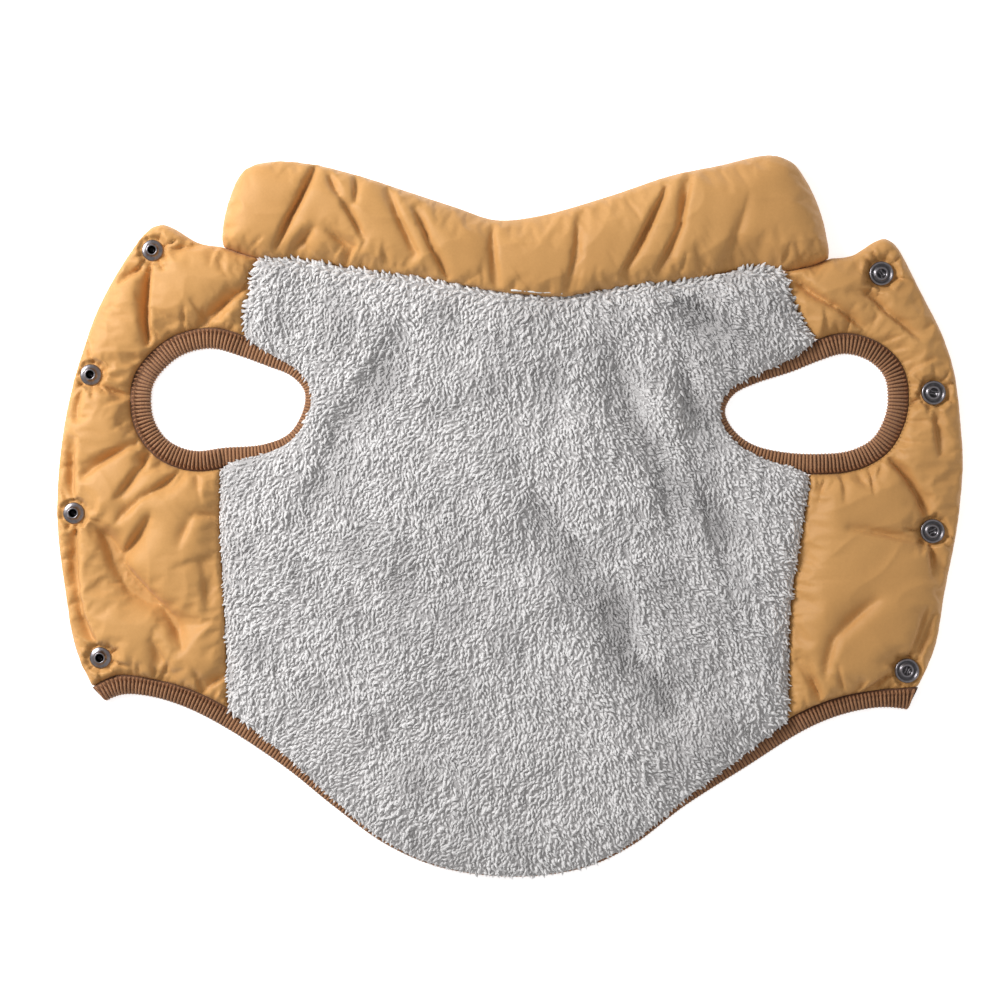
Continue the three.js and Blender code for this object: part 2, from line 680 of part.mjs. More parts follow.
// The stand-up collar is one padded tube of shell cloth, laid flat.
const collar = clothPiece(
  {
    near: [neckSeam.slice(2, -2)],
    far: [collarTop.slice(8, -8)],
    start: [neckSeam[2], collarTop[8]],
    end: [neckSeam.at(-3), collarTop.at(-9)],
  },
  { rows: 60, columns: 9, underside: 0, top: collarTopHeight },
);
add('collar', fromManifold(toManifold(collar).subtract(toManifold(labelSolid(SEAM_GAP)))), nylon);
add('neck_label', labelSolid(0), tape);

for (const side of sides) {
  add(
    `armhole_band_${side.name}`,
    ribbedBand(side.holeLine, side.bandEdge, true, armholeHeight(side)),
    knit,
  );
}
const bandInner = moved(hemInner, () => SEAM_GAP / 2, 1);
add('hem_band', ribbedBand(hemOuter, bandInner, false, hemHeight), knit);

// Snap fasteners: hollow studs down the left front and ring sockets down the right.
const STUD = [
  { r: 0, z: 0 }, { r: 4.8, z: 0 }, { r: STUD_RADIUS, z: 0.35 }, { r: 4.7, z: 0.7 }, { r: 2.9, z: 1.5 },
  { r: 2.6, z: 2.9 }, { r: 2.2, z: 3.2 }, { r: 1.8, z: 3 }, { r: 1.7, z: 0.8 }, { r: 0, z: 0.8 },
];
const SOCKET = [
  { r: 0, z: 0 }, { r: 5.3, z: 0 }, { r: SOCKET_RADIUS, z: 0.9 }, { r: 5.3, z: 1.8 }, { r: 4.8, z: 1.8 },
  { r: 4.2, z: 1.3 }, { r: 3.3, z: 1.5 }, { r: 2.8, z: 2.1 }, { r: 2.1, z: 2 }, { r: 1.9, z: 0.7 }, { r: 0, z: 0.7 },
];
for (const side of sides) {
  const [kind, profile, segments] = side === left ? ['stud', STUD, 12] : ['socket', SOCKET, 14];
  side.snaps.forEach((snap, i) => {
    const seat = SNAP_SEAT + SEAM_GAP;
    add(`${kind}_${i + 1}`, turned(profile, segments).translate(snap.x, snap.y, seat), gunmetal);
  });
}

// The origin is put under the middle of the outline.
const outline = new THREE.Box3().setFromObject(pieces);
const middle = outline.getCenter(new THREE.Vector3());
for (const piece of pieces.children) piece.geometry.translate(-middle.x, -middle.y, 0);

export default pieces;
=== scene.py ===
import math

import bmesh
import bpy
import numpy as np
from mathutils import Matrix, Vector, geometry


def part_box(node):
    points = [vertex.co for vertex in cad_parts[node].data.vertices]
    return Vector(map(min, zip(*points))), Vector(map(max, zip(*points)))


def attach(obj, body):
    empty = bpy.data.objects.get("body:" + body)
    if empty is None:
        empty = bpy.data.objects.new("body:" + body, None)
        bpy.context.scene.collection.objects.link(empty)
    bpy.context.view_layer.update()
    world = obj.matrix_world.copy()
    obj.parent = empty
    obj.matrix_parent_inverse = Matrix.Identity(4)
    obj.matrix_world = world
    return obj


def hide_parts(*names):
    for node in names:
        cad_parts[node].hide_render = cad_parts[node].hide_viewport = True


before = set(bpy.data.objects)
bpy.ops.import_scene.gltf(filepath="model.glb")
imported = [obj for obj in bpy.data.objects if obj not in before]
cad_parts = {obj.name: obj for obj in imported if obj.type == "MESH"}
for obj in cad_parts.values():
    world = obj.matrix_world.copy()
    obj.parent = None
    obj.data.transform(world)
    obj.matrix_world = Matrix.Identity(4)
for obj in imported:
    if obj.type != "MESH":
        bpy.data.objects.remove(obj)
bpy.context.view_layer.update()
MM = 0.001

# Padded nylon: the height at the seam, the height in the middle, and how far in it rises, in millimetres.
PADDING = {
    "front_left": {"edge": 2.2, "crown": 8.4, "reach": 14, "cap": 4.2},
    "front_right": {"edge": 2.2, "crown": 8.0, "reach": 14, "cap": 4.2},
    "collar": {"edge": 2.6, "crown": 13.0, "reach": 17, "cap": 5.0},
}
# How it swells: the step of its mesh, the moments it takes, how much enlarged it is meanwhile, the pressure
# inside, and the share by which the cloth is slack.
CLOTH_STEP = 1.9
CLOTH_FRAMES = 20
CLOTH_SCALE = 20.0
CLOTH_PRESSURE = 0.6
CLOTH_SLACK = 0.045
# Pieces are widened by this, so that their seams close.
SEAM_CLOSING = 0.22
# A dent this deep is held as hard as any while the piece swells, and a hold under the least is dropped.
HELD_DEPTH = 5.0
HELD_MOST = 0.5
HELD_LEAST = 0.12
# Snaps, in millimetres. The padding rises round a snap at PIT_SLOPE, and its cap sits in a recess below.
SNAP_SEAT = 3.4
STUD_RADIUS = 5.0
SOCKET_RADIUS = 5.6
CAP_RADIUS = 6.2
PIT_SLOPE = 1.7
CAP_RECESS = 1.35
SNAP_POINTS = 26
CAP_POINTS = 24
# Faces of the padded pieces whose middle is lower than this are the flat underside.
UNDERSIDE = 0.05
# The sharp line in the middle of each crease: its share of the crease's width and depth, and its least width.
SHARP_WIDTH = 0.44
SHARP_DEPTH = 0.7
SHARP_LEAST = 0.95
# How deep a piece's seams tuck it, and the solids whose seams do.
PUCKER_DEPTH = {"front_left": 1.0, "front_right": 0.9, "collar": 0.6}
GATHERED_BY = {
    "front_left": ["armhole_band_left", "hem_band"],
    "front_right": ["armhole_band_right", "hem_band"],
    "collar": ["back_lining", "front_left", "front_right"],
}

# Knit bindings.
RIB_PITCH = 1.75
RIB_PLUMPNESS = 0.53
BAND_HIGH = 4.0
BAND_LOW = 2.3
# The hem band is doubled near its ends, and a leg hole's band near its join: how much higher, and how far.
DOUBLED_RISE = 1.3
DOUBLED_REACH = (13.5, 16)
LAP_RISE = 1.2
LAP_REACH = (4.4, 5.0)
# The overlocking's distance from the seam, and its stitches' half length, thickness and slant.
OVERLOCK_INSET = 1.5
STITCH_REACH = 1.15
THREAD_RADIUS = 0.3
STITCH_SLANT = 0.35
# The core's section: the share of the way from the open edge to the seam, and the share of the height.
BAND_SECTION = [
    (0.08, 0.0),
    (0.03, 0.25),
    (0.08, 0.48),
    (0.22, 0.62),
    (0.5, 0.66),
    (0.8, 0.62),
    (1.0, 0.5),
    (1.0, 0.0),
]

# Fleece.
PILE_SPACING = 1.36
PILE_DENSITY = 1.1e6
PILE_SEED = 7
PILE_PIECES = 4
SKIN_FOOT = 2.95
SKIN_SWELL = 3.6
SHELL_HIGH = 2.55
# The nap's lean from straight down the back, in radians, at four places across the coat.
NAP_PLACES = (-120, -20, 40, 90)
NAP_LEAN = (-0.72, -0.6, 0.15, 0.42)
# The neck's seam line, where the pile begins to stand up, and a painted shadow on the fleece at the top
# right.
NECK_LINE = (84, 98)
SHADOW_POOL = (104, 94)
SHADOW_POOL_REACH = 26

# How a crease lies: its bow for its length, its width on the steep and on the soft side, and its depth at the
# ends, as a share of the depth in the middle.
CREASE_BOW = 0.035
STEEP_SIDE = 0.6
SOFT_SIDE = 1.55
END_DEPTH = 0.45
# Creases that the wadding and the snaps pull into the nylon, in millimetres. Each runs from a to b as a soft
# valley with its half width and depth.
CREASES = {
    "front_left": [
        {"a": (-168.7, 118.0), "b": (-170.1, 81.5), "width": 2.4, "depth": 5.2},
        {"a": (-172.0, 117.5), "b": (-182.8, 110.0), "width": 2.2, "depth": 2.6},
        {"a": (-146.2, 88.6), "b": (-125.0, 107.6), "width": 3.2, "depth": 4.4},
        {"a": (-125.0, 107.6), "b": (-119.4, 120.5), "width": 3.4, "depth": 3.0},
        {"a": (-139.6, 90.7), "b": (-130.2, 99.2), "width": 2.0, "depth": 1.8},
        {"a": (-163.0, 125.8), "b": (-146.6, 127.8), "width": 2.0, "depth": 1.8},
        {"a": (-198.3, 82.7), "b": (-195.8, 73.4), "width": 2.0, "depth": 2.0},
        {"a": (-191.2, 61.5), "b": (-179.5, 57.3), "width": 2.4, "depth": 3.2},
        {"a": (-200.7, 60.0), "b": (-203.0, 45.6), "width": 2.4, "depth": 2.4},
        {"a": (-169.7, 30.1), "b": (-172.0, 24.4), "width": 2.6, "depth": 3.4},
        {"a": (-172.0, 24.4), "b": (-183.8, 9.4), "width": 3.0, "depth": 2.8},
        {"a": (-154.2, 22.6), "b": (-170.1, 10.3), "width": 2.8, "depth": 2.6},
        {"a": (-170.1, 10.3), "b": (-182.8, -1.4), "width": 3.0, "depth": 2.0},
        {"a": (-193.2, -5.6), "b": (-184.7, -20.2), "width": 5.0, "depth": 5.6},
        {"a": (-184.7, -20.2), "b": (-161.2, -44.7), "width": 6.4, "depth": 5.8},
        {"a": (-161.2, -44.7), "b": (-154.2, -59.2), "width": 5.4, "depth": 4.6},
        {"a": (-169.2, -0.5), "b": (-182.8, -18.8), "width": 3.4, "depth": 3.4},
        {"a": (-204.9, 36.2), "b": (-205.4, 8.6), "width": 3.2, "depth": 3.4},
        {"a": (-204.0, -5.9), "b": (-201.6, -40.4), "width": 3.8, "depth": 4.2},
        {"a": (-201.6, -40.4), "b": (-194.6, -60.2), "width": 3.6, "depth": 3.8},
        {"a": (-148.5, 0.5), "b": (-137.8, 0.5), "width": 2.2, "depth": 1.4},
        {"a": (-144.8, -82.7), "b": (-133.0, -74.3), "width": 2.8, "depth": 2.8},
        {"a": (-199.8, 19.0), "b": (-176.0, 34.5), "width": 3.2, "depth": 2.8},
        {"a": (-167.8, -58.5), "b": (-157.9, -74.4), "width": 4.2, "depth": 2.4},
        {"a": (-148.5, 0.5), "b": (-154.5, -13.0), "width": 4.2, "depth": 1.9},
        {"a": (-145.2, -20.4), "b": (-141.9, -42.5), "width": 4.4, "depth": 1.8},
        {"a": (-189.5, -16.0), "b": (-178.0, -38.0), "width": 4.6, "depth": 1.8},
    ],
    "front_right": [
        {"a": (131.6, 114.0), "b": (151.8, 99.2), "width": 3.0, "depth": 4.0},
        {"a": (151.8, 99.2), "b": (166.0, 88.6), "width": 3.0, "depth": 3.2},
        {"a": (166.4, 105.3), "b": (176.7, 95.9), "width": 2.6, "depth": 2.6},
        {"a": (176.7, 95.9), "b": (191.3, 83.7), "width": 3.0, "depth": 2.2},
        {"a": (178.6, 27.0), "b": (188.0, 14.6), "width": 2.8, "depth": 4.4},
        {"a": (188.0, 14.6), "b": (194.5, 0.5), "width": 2.6, "depth": 4.0},
        {"a": (197.9, -13.7), "b": (197.9, -27.3), "width": 2.6, "depth": 3.0},
        {"a": (195.0, -42.8), "b": (187.6, -65.8), "width": 2.4, "depth": 2.8},
        {"a": (199.0, -44.8), "b": (191.0, -66.0), "width": 2.0, "depth": 2.0},
        {"a": (158.9, -5.6), "b": (191.3, -12.0), "width": 3.6, "depth": 2.2},
        {"a": (171.1, -39.5), "b": (151.8, -57.3), "width": 4.6, "depth": 2.8},
        {"a": (151.8, -57.3), "b": (148.0, -75.2), "width": 4.0, "depth": 2.4},
        {"a": (140.1, -66.7), "b": (145.7, -86.0), "width": 3.0, "depth": 1.8},
        {"a": (178.4, -73.4), "b": (164.0, -84.0), "width": 2.6, "depth": 2.4},
        {"a": (193.4, 57.0), "b": (186.6, 52.0), "width": 2.2, "depth": 2.2},
        {"a": (198.5, 50.0), "b": (201.5, 30.0), "width": 2.6, "depth": 2.4},
    ],
    "collar": [
        {"a": (-91.6, 163.1), "b": (-110.0, 127.4), "width": 2.3, "depth": 4.0},
        {"a": (-84.1, 158.9), "b": (-80.2, 150.7), "width": 2.1, "depth": 2.8},
        {"a": (-80.2, 150.7), "b": (-68.6, 130.5), "width": 2.4, "depth": 2.8},
        {"a": (-73.3, 160.0), "b": (-72.4, 147.0), "width": 2.1, "depth": 2.0},
        {"a": (-57.3, 153.5), "b": (-43.2, 123.0), "width": 2.8, "depth": 2.2},
        {"a": (-45.6, 143.5), "b": (-36.7, 125.5), "width": 2.2, "depth": 2.8},
        {"a": (-36.7, 125.5), "b": (-29.6, 112.5), "width": 2.2, "depth": 2.6},
        {"a": (-91.6, 135.2), "b": (-103.4, 124.4), "width": 3.0, "depth": 3.2},
        {"a": (-85.0, 133.8), "b": (-72.4, 126.3), "width": 2.4, "depth": 2.4},
        {"a": (-72.4, 126.3), "b": (-76.6, 118.7), "width": 2.2, "depth": 2.2},
        {"a": (-8.0, 137.1), "b": (-5.6, 110.6), "width": 3.6, "depth": 1.5},
        {"a": (32.0, 139.0), "b": (27.0, 108.0), "width": 4.2, "depth": 1.4},
        {"a": (72.9, 154.0), "b": (52.0, 114.0), "width": 2.5, "depth": 3.5},
        {"a": (85.5, 158.7), "b": (79.9, 137.0), "width": 2.4, "depth": 2.8},
        {"a": (79.9, 137.0), "b": (68.2, 115.5), "width": 2.6, "depth": 2.4},
        {"a": (110.9, 149.5), "b": (100.1, 119.0), "width": 3.6, "depth": 1.1},
    ],
}
# Broad soft folds of the lining. A negative depth is a ridge.
LINING_FOLDS = [
    {"a": (50, 72), "b": (68, 28), "width": 8, "depth": 3.4},
    {"a": (68, 28), "b": (76, -8), "width": 8, "depth": 2.6},
    {"a": (5, 20), "b": (50, -36), "width": 9, "depth": 3.2},
    {"a": (50, -36), "b": (55, -60), "width": 8, "depth": 3.4},
    {"a": (55, -60), "b": (85, -100), "width": 8, "depth": 3.2},
    {"a": (80, 100), "b": (98, 90), "width": 8, "depth": 3.6},
    {"a": (79, 76), "b": (97, 36), "width": 7, "depth": 3.2},
    {"a": (88, 20), "b": (102, -30), "width": 7, "depth": 2.6},
    {"a": (-52, 88), "b": (-82, 38), "width": 9, "depth": 2.4},
    {"a": (-82, 38), "b": (-96, 4), "width": 9, "depth": 2.2},
    {"a": (28, 60), "b": (34, 10), "width": 11, "depth": -1.8},
    {"a": (76, 74), "b": (78, 30), "width": 8, "depth": -2.0},
    {"a": (30, -60), "b": (60, -118), "width": 9, "depth": -1.6},
]
# Even triangles, as shares of their step: the gap between rows, how far a point strays, and how near it may
# come to a line or to another point.
ROW_GAP = 0.866
STRAY = 0.22
CLEAR_OF_LINE = 0.6
CLEAR_OF_POINT = 0.55


# Lines and shapes.


def outline_loops(name):
    """The loops round a node's flat underside, longest first, in millimetres."""
    shape = bmesh.new()
    shape.from_mesh(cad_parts[name].data)
    bmesh.ops.remove_doubles(shape, verts=shape.verts, dist=0.001 * MM)
    floor_line = min(v.co.z for v in shape.verts) + 0.01 * MM
    under = {f for f in shape.faces if max(v.co.z for v in f.verts) < floor_line}
    beside = {}
    for edge in shape.edges:
        if sum(f in under for f in edge.link_faces) == 1:
            a, b = edge.verts
            beside.setdefault(a, []).append(b)
            beside.setdefault(b, []).append(a)
    loops = []
    seen = set()
    for start in beside:
        if start in seen:
            continue
        loop = [start]
        seen.add(start)
        while True:
            onward = [v for v in beside[loop[-1]] if v not in seen]
            if not onward:
                break
            loop.append(onward[0])
            seen.add(onward[0])
        loops.append(np.array([v.co[:2] for v in loop]) / MM)
    shape.free()
    return sorted((anticlockwise(loop) for loop in loops), key=lambda loop: -length_of(loop))


def widened(loop, by):
    """An anticlockwise loop moved outwards by a distance."""
    ahead = np.roll(loop, -1, 0) - np.roll(loop, 1, 0)
    outwards = np.stack([ahead[:, 1], -ahead[:, 0]], 1)
    return loop + by * outwards / np.maximum(np.linalg.norm(outwards, axis=1, keepdims=True), 1e-9)


def signed_area(loop):
    """The area in a loop, below zero for a clockwise one."""
    x, y = loop.T
    return 0.5 * float(np.sum(x * np.roll(y, -1) - y * np.roll(x, -1)))


def anticlockwise(loop):
    return loop if signed_area(loop) > 0 else loop[::-1]


def length_of(loop):
    return float(np.linalg.norm(np.roll(loop, -1, 0) - loop, axis=1).sum())


def resampled(line, step=None, count=None, closed=True):
    """The line with even steps of about step, or with count steps."""
    points = np.vstack([line, line[:1]]) if closed else line
    walked = np.concatenate([[0], np.cumsum(np.linalg.norm(np.diff(points, axis=0), axis=1))])
    count = count or max(3, round(walked[-1] / step))
    at = np.linspace(0, walked[-1], count + 1)[: -1 if closed else None]
    return np.stack([np.interp(at, walked, points[:, k]) for k in range(points.shape[1])], 1)


def smoothed(loop, rounds, closed=True):
    """The line with its points drawn towards their neighbours. An open line keeps its ends."""
    for _ in range(rounds):
        softer = 0.5 * loop + 0.25 * (np.roll(loop, 1, 0) + np.roll(loop, -1, 0))
        if not closed:
            softer[[0, -1]] = loop[[0, -1]]
        loop = softer
    return loop


def along_segment(points, a, b):
    """The distance of points from a segment, and the share of the way along it."""
    a, b = np.array(a, float), np.array(b, float)
    line = b - a
    share = np.clip((points - a) @ line / max(line @ line, 1e-12), 0, 1)
    return np.linalg.norm(points - a - share[:, None] * line, axis=1), share


def distance_to_loop(points, loop):
    best = np.full(len(points), 1e9)
    for a, b in zip(loop, np.roll(loop, -1, 0)):
        best = np.minimum(best, along_segment(points, a, b)[0])
    return best


def inside(points, loop):
    x, y = points.T
    result = np.zeros(len(points), bool)
    for (x1, y1), (x2, y2) in zip(loop, np.roll(loop, -1, 0)):
        if y1 != y2:
            result ^= ((y1 > y) != (y2 > y)) & (x < (x2 - x1) * (y - y1) / (y2 - y1) + x1)
    return result


def rise(distance, reach):
    """From 0 at a seam to 1 at its reach, round like a cushion's side."""
    return np.sqrt(1 - (1 - np.clip(distance / reach, 0, 1)) ** 2)


def smoothstep(low, high, x):
    t = np.clip((x - low) / (high - low), 0, 1)
    return t * t * (3 - 2 * t)


def crease_depth(points, creases):
    """The summed depth of creases. Each bows a little and is steep on one side and soft on the other."""
    depth = np.zeros(len(points))
    for crease in creases:
        a, b = np.array(crease["a"], float), np.array(crease["b"], float)
        line = b - a
        length = np.linalg.norm(line)
        along = (points - a) @ line / length
        across = (points - a) @ np.array([-line[1], line[0]]) / length
        share = np.clip(along / length, 0, 1)
        arch = np.sin(np.pi * share)
        lean = math.sin(12.9 * a[0] + 4.1 * b[1])
        across = across - CREASE_BOW * length * lean * arch
        beyond = along - share * length
        wide = crease["width"] * np.where(across * lean > 0, SOFT_SIDE, STEEP_SIDE)
        fade = END_DEPTH + (1 - END_DEPTH) * arch
        depth += crease["depth"] * fade * np.exp(-((across / wide) ** 2) - (beyond / crease["width"]) ** 2)
    return depth


def soft_noise(points, size, seed):
    """Smooth noise from -1 to 1, as a sum of waves with lengths of about size."""
    waves = 9
    rng = np.random.default_rng(seed)
    total = np.zeros(len(points))
    for _ in range(waves):
        turn = rng.uniform(0, 2 * np.pi)
        wave = 2 * np.pi / (size * rng.uniform(0.75, 1.6))
        total += np.sin(points @ np.array([np.cos(turn), np.sin(turn)]) * wave + rng.uniform(0, 2 * np.pi))
    return total / (waves / 2)


def filled(loop, step, extra=(), seed=1):
    """Triangles inside a loop, with points at about one step, and more at the extra points."""
    rng = np.random.default_rng(seed)
    low, high = loop.min(0), loop.max(0)
    rows = [
        np.stack([xs, np.full(len(xs), y)], 1)
        for k, y in enumerate(np.arange(low[1], high[1], step * ROW_GAP))
        for xs in [np.arange(low[0] + (k % 2) * step / 2, high[0], step)]
    ]
    grid = np.vstack(rows)
    grid += rng.uniform(-STRAY, STRAY, grid.shape) * step
    grid = grid[inside(grid, loop)]
    grid = grid[distance_to_loop(grid, loop) > step * CLEAR_OF_LINE]
    for point in extra:
        grid = grid[np.linalg.norm(grid - point, axis=1) > step * CLEAR_OF_POINT]
    return triangulated(loop, np.vstack([grid, *[np.atleast_2d(p) for p in extra]]))


def triangulated(loop, points):
    """Triangles inside a loop, on its own points and the given ones."""
    n = len(loop)
    border = [(i, (i + 1) % n) for i in range(n)]
    corners = [Vector(p) for p in np.vstack([loop, points])]
    flat, _, faces, *_ = geometry.delaunay_2d_cdt(corners, border, [list(range(n))], 1, 1e-6)
    return np.array([p[:] for p in flat]), [tuple(f) for f in faces]


def rings(centre, radii, count):
    """Points on circles round a centre, turned by half a step from one circle to the next."""
    return [
        np.array(centre) + r * np.array([math.cos(t), math.sin(t)])
        for k, r in enumerate(radii)
        for t in np.arange(count) * 2 * math.pi / count + k * math.pi / count
    ]


def snap_centre(node):
    low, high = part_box(node)
    return (0.5 * (low[0] + high[0]) / MM, 0.5 * (low[1] + high[1]) / MM)


# Objects.


def link(name, mesh):
    piece = bpy.data.objects.new(name, mesh)
    bpy.context.scene.collection.objects.link(piece)
    return piece


def mesh_of(name, points, faces, smooth=True):
    """A mesh in metres from points in millimetres."""
    mesh = bpy.data.meshes.new(name)
    mesh.from_pydata([tuple(p) for p in np.asarray(points) * MM], [], faces)
    mesh.update()
    mesh.polygons.foreach_set("use_smooth", [smooth] * len(mesh.polygons))
    return mesh


def evaluated_mesh(piece):
    graph = bpy.context.evaluated_depsgraph_get()
    return bpy.data.meshes.new_from_object(piece.evaluated_get(graph), depsgraph=graph)


def subdivided(mesh, levels=1):
    host = link("host", mesh)
    modifier = host.modifiers.new("Subdivision", "SUBSURF")
    modifier.levels = modifier.render_levels = levels
    finer = evaluated_mesh(host)
    bpy.data.objects.remove(host)
    return finer


def dress(name, mesh, material, replaces=()):
    """A finished piece, riding on the coat and standing for its solids."""
    mesh.name = name
    mesh.materials.clear()
    mesh.materials.append(material)
    piece = link(name, mesh)
    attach(piece, "root")
    if replaces:
        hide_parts(*replaces)
    return piece


# Node trees.


class Value:
    """A number on a socket. Arithmetic on it adds Math nodes."""

    def __init__(self, tree, socket):
        self.tree = tree
        self.socket = socket

    def maths(self, operation, *terms):
        return self.tree.node("ShaderNodeMath", {"operation": operation}, dict(enumerate(terms)))[0]

    def __add__(self, other):
        return self.maths("ADD", self, other)

    def __sub__(self, other):
        return self.maths("SUBTRACT", self, other)

    def __rsub__(self, other):
        return self.maths("SUBTRACT", other, self)

    def __mul__(self, other):
        return self.maths("MULTIPLY", self, other)

    def __pow__(self, other):
        return self.maths("POWER", self, other)

    __radd__ = __add__
    __rmul__ = __mul__


class Tree:
    """A node tree that is built one node at a time."""

    def __init__(self, tree):
        self.tree = tree

    def node(self, kind, settings=None, sockets=None):
        """Adds a node with its settings and its sockets' values or links, and returns its outputs."""
        made = self.tree.nodes.new(kind)
        for name, setting in (settings or {}).items():
            setattr(made, name, setting)
        for key, value in (sockets or {}).items():
            self.put(made.inputs[key], value)
        return [Value(self, socket) for socket in made.outputs]

    def put(self, socket, value):
        """Links a socket to a Value, or to several, or gives it a plain one."""
        if isinstance(value, (list, tuple)) and value and isinstance(value[0], Value):
            for one in value:
                self.tree.links.new(one.socket, socket)
        elif isinstance(value, Value):
            self.tree.links.new(value.socket, socket)
        else:
            socket.default_value = value


def linear(red, green, blue):
    """An sRGB colour from 0 to 255, as a linear one."""
    channels = [c / 255 for c in (red, green, blue)]
    return tuple(c / 12.92 if c <= 0.04045 else ((c + 0.055) / 1.055) ** 2.4 for c in channels) + (1.0,)


def surface(name, constants, varying):
    """A material. Constants go straight on the shader; varying is given the tree and returns its links."""
    material = bpy.data.materials.new(name)
    material.use_nodes = True
    material.node_tree.nodes.clear()
    tree = Tree(material.node_tree)
    shader = tree.node("ShaderNodeBsdfPrincipled", None, {**constants, **varying(tree)})
    tree.node("ShaderNodeOutputMaterial", None, {"Surface": shader[0]})
    return material


def noise(tree, where, scale, detail=2.0, roughness=0.5):
    sockets = {"Vector": where, "Scale": scale, "Detail": detail, "Roughness": roughness}
    return tree.node("ShaderNodeTexNoise", None, sockets)[0]


def mix(tree, factor, first, second):
    sockets = {0: factor, 6: first, 7: second}
    return tree.node("ShaderNodeMix", {"data_type": "RGBA"}, sockets)[2]


def bump(tree, height, strength, distance, over=None):
    """The normal of a relief, which may lie over the normal of another one."""
    sockets = {"Height": height, "Strength": strength, "Distance": distance}
    if over is not None:
        sockets["Normal"] = over
    return tree.node("ShaderNodeBump", None, sockets)[0]


def placed(tree, scale=(1, 1, 1)):
    where = tree.node("ShaderNodeTexCoord")[3]
    return tree.node("ShaderNodeMapping", None, {"Vector": where, "Scale": scale})[0]


def threads(tree, where, direction):
    settings = {"wave_type": "BANDS", "bands_direction": direction}
    return tree.node("ShaderNodeTexWave", settings, {"Vector": where, "Scale": 620.0})[1]


def stored(tree, name):
    """A number that the mesh holds for each of its points."""
    return tree.node("ShaderNodeAttribute", {"attribute_name": name})[2]


def nylon_varying(tree):
    where = placed(tree)
    cloud = noise(tree, where, 22.0, 2.0)
    fibre = noise(tree, where, 900.0, 2.0)
    color = mix(tree, cloud, linear(199, 146, 83), linear(211, 159, 94))
    color = mix(tree, fibre * 0.25, color, linear(160, 110, 60))
    crinkle = noise(tree, placed(tree, (1.0, 0.45, 1.0)), 110.0, 4.0, 0.6)
    weave = bump(tree, threads(tree, where, "X") + threads(tree, where, "Y"), 0.12, 0.00006)
    crinkled = bump(tree, crinkle, 0.28, 0.0006, over=weave)
    return {"Base Color": color, "Roughness": 0.52 + 0.14 * cloud, "Normal": crinkled}


def fleece_varying(tree):
    where = placed(tree)
    cloud = noise(tree, where, 45.0, 3.0, 0.6)
    speck = noise(tree, where, 1300.0, 4.0, 0.75)
    root = linear(212, 209, 208)
    end = mix(tree, cloud, linear(246, 243, 242), linear(252, 251, 250))
    color = mix(tree, stored(tree, "tip") ** 0.45, root, end)
    fuzz = (speck * 4.0 - 1.6) * 0.36
    color = mix(tree, fuzz, color, linear(200, 197, 198))
    # Painted shade: where the stored number is low, the fleece is mixed towards a dark grey shade colour.
    fleece_in_shade = mix(tree, 0.6, color, linear(122, 119, 119))
    color = mix(tree, stored(tree, "painted_light"), fleece_in_shade, color)
    return {"Base Color": color, "Normal": bump(tree, speck, 0.9, 0.0006)}


def knit_varying(tree):
    where = placed(tree)
    row = stored(tree, "row")
    cloud = noise(tree, where, 60.0, 2.0)
    fuzz = noise(tree, where, 1100.0, 2.0, 0.6)
    stitch = row.maths("SINE", row * 26.0) * 0.5 + 0.5
    color = mix(tree, cloud, linear(158, 114, 81), linear(180, 135, 100))
    color = mix(tree, fuzz * 0.3, color, linear(124, 82, 55))
    # Painted shade: the sides of each rib, and the core under the ribs, are darkened towards a deep brown.
    color = mix(tree, stored(tree, "flank") ** 5.0 * 0.8, color, linear(84, 54, 38))
    knots = bump(tree, stitch, 0.3, 0.0003)
    return {"Base Color": color, "Normal": bump(tree, fuzz, 0.6, 0.0003, over=knots)}


def metal_varying(tree):
    worn = noise(tree, placed(tree), 700.0, 3.0, 0.6)
    color = mix(tree, worn, linear(104, 99, 104), linear(164, 160, 163))
    # Painted shade: the stud's bore and the socket's mouth and valley ring are darkened to near black.
    color = mix(tree, stored(tree, "hollow"), color, linear(14, 12, 14))
    return {"Base Color": color, "Roughness": 0.22 + 0.22 * worn, "Normal": bump(tree, worn, 0.15, 0.0001)}


def tape_varying(tree):
    sockets = {"Vector": placed(tree), "Scale": 800.0, "Distortion": 0.6}
    thread = tree.node("ShaderNodeTexWave", None, sockets)[1]
    color = mix(tree, thread, linear(238, 236, 230), linear(250, 249, 246))
    return {"Base Color": color, "Normal": bump(tree, thread, 0.3, 0.0001)}


def thread_varying(tree):
    ply = noise(tree, placed(tree), 1500.0, 2.0)
    color = mix(tree, ply, linear(132, 88, 60), linear(170, 122, 88))
    return {"Base Color": color, "Normal": bump(tree, ply, 0.5, 0.0001)}


nylon = surface("tan_nylon", {"Sheen Weight": 0.1, "Specular IOR Level": 0.4}, nylon_varying)
fleece = surface(
    "grey_pile_fleece",
    {"Roughness": 0.95, "Sheen Weight": 0.2, "Specular IOR Level": 0.1},
    fleece_varying,
)
knit = surface(
    "brown_rib_knit",
    {"Roughness": 0.92, "Sheen Weight": 0.2, "Specular IOR Level": 0.2},
    knit_varying,
)
gunmetal = surface("gunmetal_plating", {"Metallic": 1.0}, metal_varying)
label_tape = surface("white_label_tape", {"Roughness": 0.8}, tape_varying)
seam_thread = surface("brown_seam_thread", {"Roughness": 0.85, "Specular IOR Level": 0.2}, thread_varying)


# Padded nylon.


def cloth_body(top, top_faces, bottom, bottom_faces, rim):
    """One closed shape from a top and a bottom that share the order of their first rim points."""
    n = len(top)
    faces = list(top_faces) + [tuple(n + i for i in reversed(f)) for f in bottom_faces]
    for i in range(rim):
        j = (i + 1) % rim
        faces += [(j, i, n + i), (j, n + i, n + j)]
    return np.vstack([top, bottom]), faces


